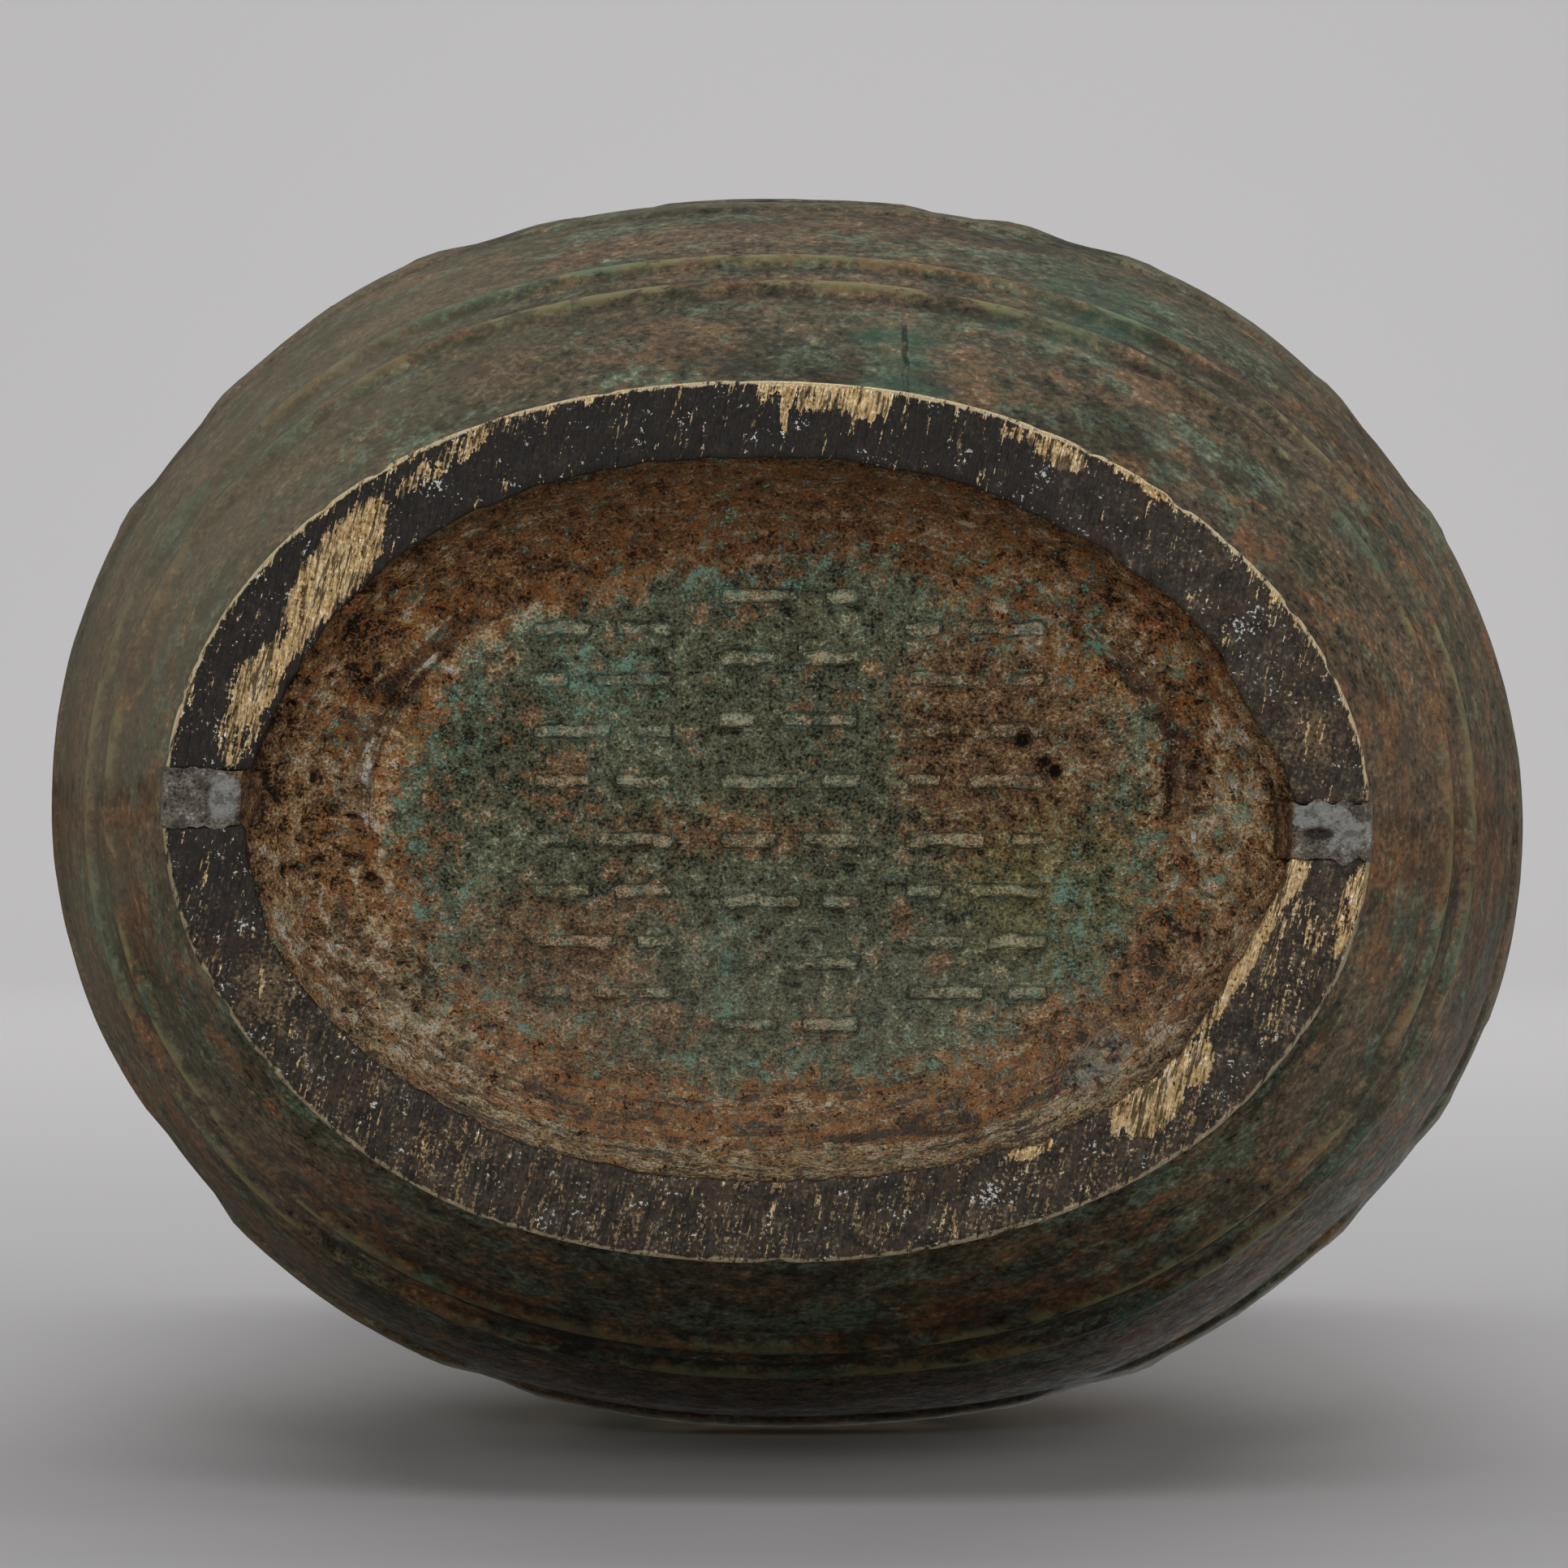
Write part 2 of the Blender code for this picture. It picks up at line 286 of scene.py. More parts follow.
# how finely the vase is meshed, and between which levels the rings lie close for a bowstring
meshing = {
    "rimColumns": 576,
    "floorGrid": 0.00043,
    "wallRows": 24,
    "rimRows": 14,
    "footTop": 0.0020,
    "lowStrings": (0.0480, 0.0596),
    "highString": (0.2040, 0.2080),
}

# mark is how far along its zone a ring lies: a share of the recess wall, or millimetres across the rim
Ring = namedtuple("Ring", "halves height angles zone mark", defaults=(None,))

friezePitch = (frieze["top"] - frieze["bottom"]) / frieze["rows"]
rimAngles = [math.tau * column / meshing["rimColumns"] for column in range(meshing["rimColumns"])]
bodyAngles = [
    math.radians(frieze["columnWidth"] * column + place)
    for column in range(frieze["columns"])
    for place in frieze["columnPlaces"]
]
neckAngles = [(one + two) / 2 for one, two in zip(bodyAngles[::2], bodyAngles[1::2])]
insideAngles = [(one + two) / 2 for one, two in zip(neckAngles[::2], neckAngles[1::2])]


def between(first, second, share):
    return tuple(one + (two - one) * share for one, two in zip(first, second))


def grown(halves, amount):
    return tuple(half + amount for half in halves)


def smooth(value, low, high):
    share = min(1.0, max(0.0, (value - low) / (high - low)))
    return share * share * (3.0 - 2.0 * share)


def steps(first, last, count):
    return [first + (last - first) * step / count for step in range(1, count + 1)]


def bodyHalves(height):
    if height <= vase["footBand"]:
        return vase["footHalves"]
    if height <= vase["waist"]:
        drop = (vase["waist"] - height) / (vase["waist"] - vase["footBand"])
        return between(vase["waistHalves"], vase["footHalves"], drop ** 2)
    if height <= vase["belly"]:
        drop = (vase["belly"] - height) / (vase["belly"] - vase["waist"])
        return between(vase["bellyHalves"], vase["waistHalves"], drop ** 2)
    if height <= vase["neck"]:
        rise = (height - vase["belly"]) / (vase["neck"] - vase["belly"])
        return between(vase["bellyHalves"], vase["neckHalves"], (1.0 - math.cos(math.pi * rise)) / 2.0)
    rise = (height - vase["neck"]) / (vase["top"] - vase["neck"])
    return between(vase["neckHalves"], vase["mouthHalves"], rise ** 2)


def ovalPoint(halves, height, angle, shift=(0.0, 0.0)):
    across = math.cos(angle)
    along = math.sin(angle)
    power = 2.0 / vase["ovalPower"]
    x = shift[0] + halves[0] * math.copysign(abs(across) ** power, across)
    y = shift[1] + halves[1] * math.copysign(abs(along) ** power, along)
    return Vector((x, y, height))


rimInner = grown(vase["footHalves"], -vase["rimWidth"])
recessFloor = (rimInner[0] - vase["recessRun"][0], rimInner[1] - vase["recessRun"][1])


def undersideRings():
    rings = []
    for row in range(meshing["wallRows"]):
        share = row / meshing["wallRows"]
        turn = math.pi / 2.0 * (1.0 - share)
        height = max(vase["recessDepth"] * math.sin(turn), 0.0009)
        rings.append(Ring(between(recessFloor, rimInner, math.cos(turn)), height, rimAngles, "wall", share))
    # the rim's inner edge: millimetres outward from it, and height
    for across, height in ((-0.05, 0.00055), (0.06, 0.00028), (0.25, 0.00012)):
        rings.append(Ring(grown(rimInner, across / 1000.0), height, rimAngles, "rim", max(across, 0.0)))
    rimEnd = 1000.0 * (vase["rimWidth"] - vase["footRounding"])
    for across in steps(0.25, rimEnd, meshing["rimRows"]):
        rings.append(Ring(grown(rimInner, across / 1000.0), 0.00008, rimAngles, "rim", across))
    # its outer edge: metres inward from the foot's outside, height, and millimetres from the inner edge
    for inward, height, across in ((0.00030, 0.00020, 8.3), (0.00008, 0.00045, 8.5), (0.0, 0.00090, 8.8)):
        rings.append(Ring(grown(vase["footHalves"], -inward), height, rimAngles, "rim", across))
    rings.append(Ring(vase["footHalves"], meshing["footTop"], rimAngles, "foot"))
    return rings


def bowstringLift(height):
    lift = 0.0
    for middle in bowstrings["heights"]:
        offset = abs(height - middle) / (bowstrings["width"] / 2.0)
        if offset < 1.0:
            lift = max(lift, bowstrings["rise"] * math.cos(offset * math.pi / 2.0) ** 0.8)
    return lift


def bodyRings():
    low, high = meshing["lowStrings"]
    heights = steps(meshing["footTop"], vase["footBand"], 4)
    heights += steps(vase["footBand"], vase["waist"], 11)
    heights += steps(vase["waist"], low, 21)
    heights += steps(low, high, 22)
    heights += steps(high, frieze["bottom"], 14)
    rings = [Ring(bodyHalves(height), height, bodyAngles, "body") for height in heights]
    for row in range(frieze["rows"]):
        for share in frieze["rowPlaces"]:
            height = frieze["bottom"] + (row + share) * friezePitch
            rings.append(Ring(bodyHalves(height), height, bodyAngles, "frieze"))
    return rings


def neckRings():
    top = vase["top"]
    lipBottom = top - vase["lipHeight"]
    low, high = meshing["highString"]
    heights = [frieze["top"] + 0.0004, frieze["top"] + 0.0012]
    heights += steps(heights[-1], low, 27)
    heights += steps(low, high, 10)
    heights += steps(high, lipBottom - 0.0004, 34)
    rings = [Ring(bodyHalves(height), height, neckAngles, "body") for height in heights]
    rounding = vase["lipRounding"]
    projection = vase["lipProjection"]
    lip = [
        (lipBottom, 0.2 * projection),
        (lipBottom + 0.45 * rounding, 0.75 * projection),
        (lipBottom + rounding, projection),
        (top - 0.5 * vase["lipHeight"], projection),
        (top - rounding, projection),
        (top - 0.35 * rounding, projection - 0.25 * rounding),
        (top, projection - rounding),
    ]
    rings += [Ring(grown(bodyHalves(height), extra), height, neckAngles, "lip") for height, extra in lip]
    mouth = vase["mouthHalves"]
    rings.append(Ring(grown(mouth, 0.4 * rounding - vase["wall"]), top, neckAngles, "lip"))
    rings.append(Ring(grown(mouth, -vase["wall"]), top - 0.6 * rounding, neckAngles, "inside"))
    return rings


def insideRings():
    floor = vase["recessDepth"] + vase["baseThickness"]
    fillet = vase["innerFillet"]

    def ringAt(level, inset=0.0):
        return Ring(grown(bodyHalves(level), -vase["wall"] - inset), level, insideAngles, "inside")

    start = vase["top"] - 0.003
    heights = [start] + steps(start, vase["neck"], 12)
    heights += steps(vase["neck"], vase["belly"], 22) + steps(vase["belly"], floor + fillet, 14)
    rings = [ringAt(height) for height in heights]
    for turn in steps(math.pi / 2.0, 0.0, 5):
        rings.append(ringAt(floor + fillet * (1.0 - math.cos(turn)), fillet * (1.0 - math.sin(turn))))
    last = rings[-1].halves
    for share in (0.8, 0.6, 0.4, 0.2):
        rings.append(Ring(tuple(half * share for half in last), floor, insideAngles, "inside"))
    return rings


def raisedCells():
    cells = set()
    lastRow = frieze["rows"] - 1
    for start, end in frieze["panels"]:
        first = start // frieze["columnWidth"]
        last = end // frieze["columnWidth"] - 1
        for column in range(first, last + 1):
            for row in range(frieze["rows"]):
                if min(column - first, last - column, row, lastRow - row) % 2 == 0:
                    cells.add((row, column % frieze["columns"]))
    return cells


def blockBoxes(column, side):
    width = strokes["middleBlockWidth"] if column == 0 else strokes["outerBlockWidth"]
    start = strokes["middle"][0] + column * strokes["pitchX"] - strokes["blockLength"] / 2.0
    end = start + strokes["blockLength"]
    pitch = (width - strokes["width"]) / (strokes["rows"] - 1)
    boxes = []
    for row in range(strokes["rows"]):
        y = strokes["middle"][1] + side * ((strokes["gapY"] + strokes["width"]) / 2.0 + row * pitch)
        parting = start + strokes["firstParting"] + strokes["partingStep"] * ((row + column + side) % 3)
        for low, high in ((start, parting - strokes["gap"] / 2.0), (parting + strokes["gap"] / 2.0, end)):
            boxes.append(((low + high) / 2.0, y, (high - low) / 2.0, strokes["width"] / 2.0))
    return boxes


strokeBoxes = [box for column in (-1, 0, 1) for side in (-1, 1) for box in blockBoxes(column, side)]
friezeCells = raisedCells()


def friezeRise(angle, height):  # averaged over a small field, so that the cells' edges are round and worn
    degrees = math.degrees(angle)
    share = 0.0
    for turn in frieze["fieldTurns"]:
        for lift in frieze["fieldLifts"]:
            row = math.floor((height + lift - frieze["bottom"]) / friezePitch)
            column = int((degrees + turn) // frieze["columnWidth"]) % frieze["columns"]
            share += (row, column) in friezeCells
    return frieze["relief"] * share / (len(frieze["fieldTurns"]) * len(frieze["fieldLifts"]))


def lumps(place, size, octaves=3):
    return noise.fractal(place * (1.0 / size), 0.9, 2.1, octaves)


def strokeRise(point):
    place = point * 1000.0
    x = point.x + strokes["wobble"] * noise.noise(place * 0.45)
    x += strokes["fineWobble"] * noise.noise(place * 1.6)
    y = point.y + strokes["wobble"] * noise.noise(place * 0.4 + Vector((9, 4, 2)))
    corner = strokes["corner"]
    best = 0.0
    for middleX, middleY, halfX, halfY in strokeBoxes:
        overX = abs(x - middleX) - halfX + corner
        overY = abs(y - middleY) - halfY + corner
        if overX < strokes["reach"] and overY < strokes["reach"]:
            away = math.hypot(max(overX, 0.0), max(overY, 0.0)) + min(max(overX, overY), 0.0) - corner
            best = max(best, smooth(-away, -strokes["foot"], strokes["softness"] - strokes["foot"]))
    worn = 0.78 + 0.35 * noise.noise(place * 0.11 + Vector((3, 8, 1)))
    return strokes["rise"] * best * min(worn, 1.0)


# pits in the recess's floor: middle and radius in metres
floorPits = (
    (0.0277, -0.0090, 0.0010),
    (0.0312, -0.0054, 0.0007),
    (0.0302, -0.0066, 0.0006),
    (-0.0330, -0.0085, 0.0005),
)


def spotShare(point, x, y, radiusX, radiusY, turn):
    overX = 1000.0 * point.x - x
    overY = 1000.0 * point.y - y
    cosine = math.cos(math.radians(turn))
    sine = math.sin(math.radians(turn))
    along = overX * cosine + overY * sine
    aside = overY * cosine - overX * sine
    return smooth(1.0 - math.hypot(along / radiusX, aside / radiusY), 0.0, 0.6)


# crust, flakes and hollows in the recess: middle and radii in millimetres, turn in degrees, rise in metres
crusts = (
    (49.5, -2.0, 5.0, 14.0, 8.0, 0.0007),
    (43.3, -17.8, 4.0, 1.6, 0.0, 0.0007),
    (35.5, 26.0, 5.6, 2.8, -38.0, 0.0013),
    (43.6, -8.0, 0.9, 11.0, 0.0, -0.0008),
    (-43.0, -6.0, 6.0, 9.0, 0.0, 0.0005),
    (-30.0, -20.0, 12.0, 3.0, -24.0, 0.0004),
    (2.0, 30.5, 26.0, 1.2, 2.0, 0.0005),
    (16.0, 33.0, 14.0, 1.6, -6.0, -0.0005),
)


def crustRelief(point):
    place = point * 1000.0
    rise = 0.0
    for *spot, height in crusts:
        share = spotShare(point, *spot)
        if share > 0.0:
            rise += height * share * (0.75 + 0.9 * noise.noise(place * 0.5))
    return rise


def pitted(place, size, depth, low):
    return depth * smooth(noise.noise(place * (1.0 / size) + Vector((5, 1, 7))), low, low + 0.22)


def floorRelief(point):
    place = point * 1000.0
    rise = 0.00020 * lumps(place, 14.0) + 0.00018 * lumps(place, 2.6) + 0.00008 * lumps(place, 1.1, 2)
    rise += strokeRise(point) + crustRelief(point) - pitted(place, 1.3, 0.00035, 0.48)
    for x, y, radius in floorPits:
        rise -= 0.0014 * smooth(radius * 1.25 - math.hypot(point.x - x, point.y - y), 0.0, radius * 0.9)
    share = math.hypot(point.x / recessFloor[0], point.y / recessFloor[1])
    return rise + smooth(share, 0.82, 1.0) * 0.00028 * (0.4 + lumps(place, 3.4))


def wallRelief(point, share):
    place = point * 1000.0
    coarse = 0.6 + 0.8 * smooth(abs(point.x), 0.025, 0.045)
    stretched = Vector((place.x * 0.06, place.y * 0.9, place.z * 0.9))
    layers = smooth(point.y, 0.022, 0.030) * 0.00022 * noise.noise(stretched)
    rough = 0.00045 * lumps(place, 5.0) + 0.00040 * lumps(place, 2.0) + 0.00014 * lumps(place, 1.0, 2)
    rise = coarse * rough + (crustRelief(point) + layers - pitted(place, 1.1, 0.0007 * coarse, 0.40))
    ledge = 0.0007 * smooth(share, 0.72, 0.90) * (1.0 - smooth(share, 0.955, 1.0))
    return rise * (1.0 - smooth(share, 0.86, 1.0)) - ledge


def slotShare(point):  # 1 inside a slot across the foot ring
    middleY = slots["leftY"] if point.x < 0.0 else slots["rightY"]
    if abs(point.x) < slots["startX"] or point.z > slots["height"] + 0.001:
        return 0.0
    sideways = smooth(slots["width"] / 2.0 - abs(point.y - middleY), -0.0003, 0.0002)
    return sideways * smooth(slots["height"] - point.z, -0.0003, 0.0002)


def edgeOffset(edge, angle):
    offset = 0.0
    for middle, reach, outward in wornPlaces[edge]:
        away = abs((math.degrees(angle) - middle + 180.0) % 360.0 - 180.0)
        offset += outward * (1.0 - smooth(away, 0.0, reach))
    return 0.001 * offset


def edgeWave(angle, ring):  # how far a ring of the foot wanders from the plain oval, in metres
    if ring.zone in ("foot", "body"):
        return edgeOffset("outer", angle) * (1.0 - smooth(ring.height, 0.002, vase["waist"]))
    around = Vector((math.cos(angle) * 5.0, math.sin(angle) * 3.6, 0.4))
    inner = edgeOffset("inner", angle) + 0.00035 * noise.noise(around * 2.3)
    inner += 0.00030 * noise.noise(around * 5.1)
    if ring.zone == "wall":
        return inner * smooth(ring.mark, 0.3, 1.0)
    share = smooth(ring.mark, 0.0, 8.0)
    return inner * (1.0 - share) + edgeOffset("outer", angle) * share


def bellyWave(angle, height):  # how far the belly leaves the plain oval, in metres
    share = smooth(height, vase["waist"], 0.09) * (1.0 - smooth(height, 0.12, 0.175))
    return share * edgeOffset("belly", angle)


def rimRelief(point, mark):
    place = point * 1000.0
    sink = 0.00005 * (1.0 + lumps(place, 7.0)) + 0.00003 * lumps(place, 1.6, 2)
    patch = smooth(noise.noise(place * 0.33 + Vector((2, 2, 9))), 0.25, 0.6)
    chips = smooth(mark, 7.4, 8.6) * patch * 0.00035
    return -max(sink, 0.0) - chips


def bodyRelief(point):
    place = point * 1000.0
    return -0.00014 + 0.00010 * lumps(place, 24.0) + 0.00006 * lumps(place, 4.5)


def reliefOf(point, ring, column):
    if ring.zone == "wall":
        rise = wallRelief(point, ring.mark)
    elif ring.zone == "rim":
        rise = rimRelief(point, ring.mark)
    elif ring.zone == "frieze":
        worn = 0.82 + 0.5 * noise.noise(point * 45.0)
        rise = bodyRelief(point) + friezeRise(ring.angles[column], ring.height) * min(worn, 1.0)
    elif ring.zone == "body":
        rise = bodyRelief(point) + bowstringLift(point.z)
    else:
        rise = bodyRelief(point) * 0.6
    if ring.zone in ("wall", "rim", "foot", "body") and point.z < 0.008:
        rise -= slots["depth"] * slotShare(point)
    return rise


def acrossOf(ring):  # millimetres outward from the rim's inner edge, below 0 on the recess wall
    if ring.zone == "wall":
        return 15.0 * (ring.mark - 1.0)
    return ring.mark if ring.zone == "rim" else 9.0


def bridge(form, lower, upper, material):
    count = len(upper)
    for column in range(count):
        after = (column + 1) % count
        if len(lower) == count:
            faces = [(lower[column], lower[after], upper[after], upper[column])]
        else:
            one, two, three = (lower[(2 * column + place) % len(lower)] for place in range(3))
            faces = [
                (one, two, upper[column]),
                (two, upper[after], upper[column]),
                (two, three, upper[after]),
            ]
        for corners in faces:
            form.faces.new(corners).material_index = material


def fillFloor(form, ring, vertsOfRing):  # an even grid of small triangles inside the recess's floor
    spacing = meshing["floorGrid"]
    shiftX, shiftY = vase["recessShift"]
    flat = [vert.co.to_2d() for vert in vertsOfRing]
    countX = int(ring.halves[0] / spacing)
    countY = int(ring.halves[1] / spacing)
    for row in range(-countY, countY + 1):
        for column in range(-countX, countX + 1):
            x = column * spacing
            y = row * spacing
            shareX = (abs(x) / ring.halves[0]) ** vase["ovalPower"]
            shareY = (abs(y) / ring.halves[1]) ** vase["ovalPower"]
            if shareX + shareY < 0.98:
                flat.append(Vector((x + shiftX, y + shiftY)))
    coords, _, faces, origins, _, _ = delaunay_2d_cdt(flat, [], [], 0, 1e-7)
    verts = []
    inner = []
    for coord, origin in zip(coords, origins):
        if origin and origin[0] < len(vertsOfRing):
            verts.append(vertsOfRing[origin[0]])
        else:
            verts.append(form.verts.new((coord.x, coord.y, ring.height)))
            inner.append(verts[-1])
    for face in faces:
        form.faces.new([verts[index] for index in face]).material_index = 0
    return inner


def placeRing(form, ring):
    fade = 0.0
    if ring.zone in ("wall", "rim"):
        fade = 1.0 if ring.zone == "wall" else 1.0 - smooth(ring.mark, 0.0, 7.0)
    shift = (vase["recessShift"][0] * fade, vase["recessShift"][1] * fade)
    verts = []
    for angle in ring.angles:
        halves = ring.halves
        if ring.zone != "inside":
            wave = edgeWave(angle, ring) if ring.height < vase["waist"] else bellyWave(angle, ring.height)
            halves = grown(halves, wave)
        verts.append(form.verts.new(ovalPoint(halves, ring.height, angle, shift)))
    return verts


def makeThing(name, form):
    mesh = bpy.data.meshes.new(name)
    form.to_mesh(mesh)
    form.free()
    mesh.shade_smooth()
    thing = bpy.data.objects.new(name, mesh)
    bpy.context.scene.collection.objects.link(thing)
    return thing


def buildVase():
    form = bmesh.new()
    across = form.verts.layers.float.new("across")
    crest = form.verts.layers.float.new("crest")
    relief = form.verts.layers.float.new("relief")
    rings = undersideRings() + bodyRings() + neckRings() + insideRings()
    materialOf = {"wall": 0, "rim": 1, "foot": 2, "body": 2, "frieze": 2, "lip": 2, "inside": 2}
    rows = [placeRing(form, ring) for ring in rings]
    floorVerts = fillFloor(form, rings[0], rows[0])
    for upper, lowerVerts, upperVerts in zip(rings[1:], rows, rows[1:]):
        bridge(form, lowerVerts, upperVerts, materialOf[upper.zone])
    middle = form.verts.new((0.0, 0.0, rings[-1].height))
    for one, two in zip(rows[-1], rows[-1][1:] + rows[-1][:1]):
        form.faces.new((one, two, middle)).material_index = materialOf["inside"]
    bmesh.ops.recalc_face_normals(form, faces=form.faces)
    form.normal_update()
    for vert in floorVerts:
        vert[crest] = strokeRise(vert.co) / strokes["rise"]
    rises = [(vert, floorRelief(vert.co), -20.0) for vert in floorVerts]
    for ring, verts in zip(rings, rows):
        away = acrossOf(ring)
        rises += [(vert, reliefOf(vert.co, ring, column), away) for column, vert in enumerate(verts)]
    for vert, rise, away in rises:
        vert[relief] = 1000.0 * rise
        vert[across] = away
        vert.co = vert.co + vert.normal * rise
        vert.co.z = max(vert.co.z, 0.0)
    return makeThing("vaseBody", form)


fills = {
    "edge": 0.00085,  # how far the smeared edge wanders
    "overlap": 0.0003,
    "proud": 0.00006,
    "highest": 0.00008,
    "lump": 0.00005,
    "bend": 0.0009,  # the ring's ends curve back beside the slot's middle
    "thickness": 0.0010,
    "rows": 14,
    "pitPlace": (0.0586, 0.0010),
    "pitHalves": (0.0016, 0.0004),
    "pitDepth": 0.0007,
    "sharpEdge": 50.0,  # degrees
}


# the ring's section from the recess wall round the rim to the outside, as x, z and outward normal
def fillProfile():
    points = []
    for height in (0.0058, 0.0046, 0.0034, 0.0022, 0.0012):
        turn = math.asin(height / vase["recessDepth"])
        x = recessFloor[0] + (rimInner[0] - recessFloor[0]) * math.cos(turn)
        points.append((x, height, -0.96, -0.28))
    points.append((rimInner[0] + 0.0001, 0.0004, -0.6, -0.8))
    for across in steps(0.0007, vase["rimWidth"] - 0.0008, 16):
        points.append((rimInner[0] + across, 0.00008, 0.0, -1.0))
    points.append((vase["footHalves"][0] - 0.0002, 0.0003, 0.7, -0.7))
    for height in (0.0010, 0.0022, 0.0034, 0.0046, 0.0058):
        points.append((vase["footHalves"][0], height, 1.0, 0.0))
    return points


def buildFill(name, side, middleY):
    form = bmesh.new()
    profile = fillProfile()
    outer = []
    inner = []
    for row in range(fills["rows"] + 1):
        share = 2.0 * row / fills["rows"] - 1.0
        outer.append([])
        inner.append([])
        for x, z, outX, outZ in profile:
            wander = fills["edge"] * noise.noise(Vector((x * 700.0, share * 0.8, side * 3.0 + z * 500.0)))
            y = middleY + share * (slots["width"] / 2.0 + fills["overlap"]) + wander * abs(share)
            lift = fills["proud"] + fills["lump"] * noise.noise(Vector((x * 1200.0, y * 1200.0, z * 900.0)))
            if side > 0 and abs(outZ) > 0.9:
                overX = (x - fills["pitPlace"][0]) / fills["pitHalves"][0]
                overY = (y - fills["pitPlace"][1]) / fills["pitHalves"][1]
                lift -= fills["pitDepth"] * smooth(1.3 - math.hypot(overX, overY), 0.0, 0.8)
            lift = min(lift, fills["highest"])
            bend = 1.0 - fills["bend"] * abs(y * 1000.0) ** 1.7 / 4.0
            outer[-1].append(form.verts.new((side * (x * bend + outX * lift), y, max(z + outZ * lift, 0.0))))
            depth = fills["thickness"]
            inner[-1].append(form.verts.new((side * (x * bend - outX * depth), y, z - outZ * depth)))
    strips = [*zip(outer, outer[1:]), *zip(inner, inner[1:])]
    strips += [(outer[end], inner[end]) for end in (0, -1)]
    strips += [([row[end] for row in outer], [row[end] for row in inner]) for end in (0, -1)]
    for one, two in strips:
        for column in range(len(one) - 1):
            form.faces.new((one[column], one[column + 1], two[column + 1], two[column]))
    bmesh.ops.recalc_face_normals(form, faces=form.faces)
    thing = makeThing(name, form)
    thing.data.set_sharp_from_angle(angle=math.radians(fills["sharpEdge"]))
    return thing


# Finishes. Colours are what the surface itself has, before light, except where painted shade, light or sheen
# is marked
grainStops = (0.415, 0.435, 0.500, 0.520, 0.585, 0.605)


def grainTones(s, value, tints):  # four crisp tones, from the grain's hollows to its crests
    deep, middle, pale, bright = tints
    return s.ramp(value, *zip(grainStops, (deep, middle, middle, pale, pale, bright)))


recessLook = {
    "green": ("#2a2a1d", "#686850", "#8c8f71", "#ccd5b2"),
    "brown": ("#2e1e12", "#7f5b3c", "#ae855c", "#ebcda3"),
    "rust": ("#2c1b0e", "#96693f", "#c49362", "#f6d5a3"),
    "sand": ("#563f29", "#ba996b", "#f5dbac", "#fffff7"),
    "turquoise": "#9fcdb4",
    "teal": "#6b8a71",
    "orange": "#c97c34",
    "plum": "#49352e",
    "olive": ("#312e1a", "#7c7444", "#a49a5c", "#d9d09a"),
    "ledge": "#997955",
    "farWallShade": "#4f3319",
    "grey": "#a7a299",
    "white": "#fffffe",
    "black": "#0c0806",
    "paintedLight": "#d2cab4",
    "strokeEdgeShade": "#1f1710",
    # where turquoise gathers: middle and radii in millimetres, turn in degrees
    "turquoiseSpots": (
        ((-18.5, -14.0), (9.0, 9.0), 0.0),
        ((-36.0, 14.0), (6.0, 9.0), 0.0),
        ((43.3, -17.5), (6.0, 3.0), 0.0),
        ((31.0, -23.0), (12.0, 5.0), 30.0),
        ((49.0, 2.0), (4.0, 14.0), 10.0),
        ((2.0, 26.5), (28.0, 3.0), 0.0),
        ((-4.5, 16.0), (2.6, 10.0), 0.0),
        ((33.0, 12.0), (4.0, 12.0), 0.0),
        ((-4.0, -26.0), (14.0, 3.0), 0.0),
    ),
}


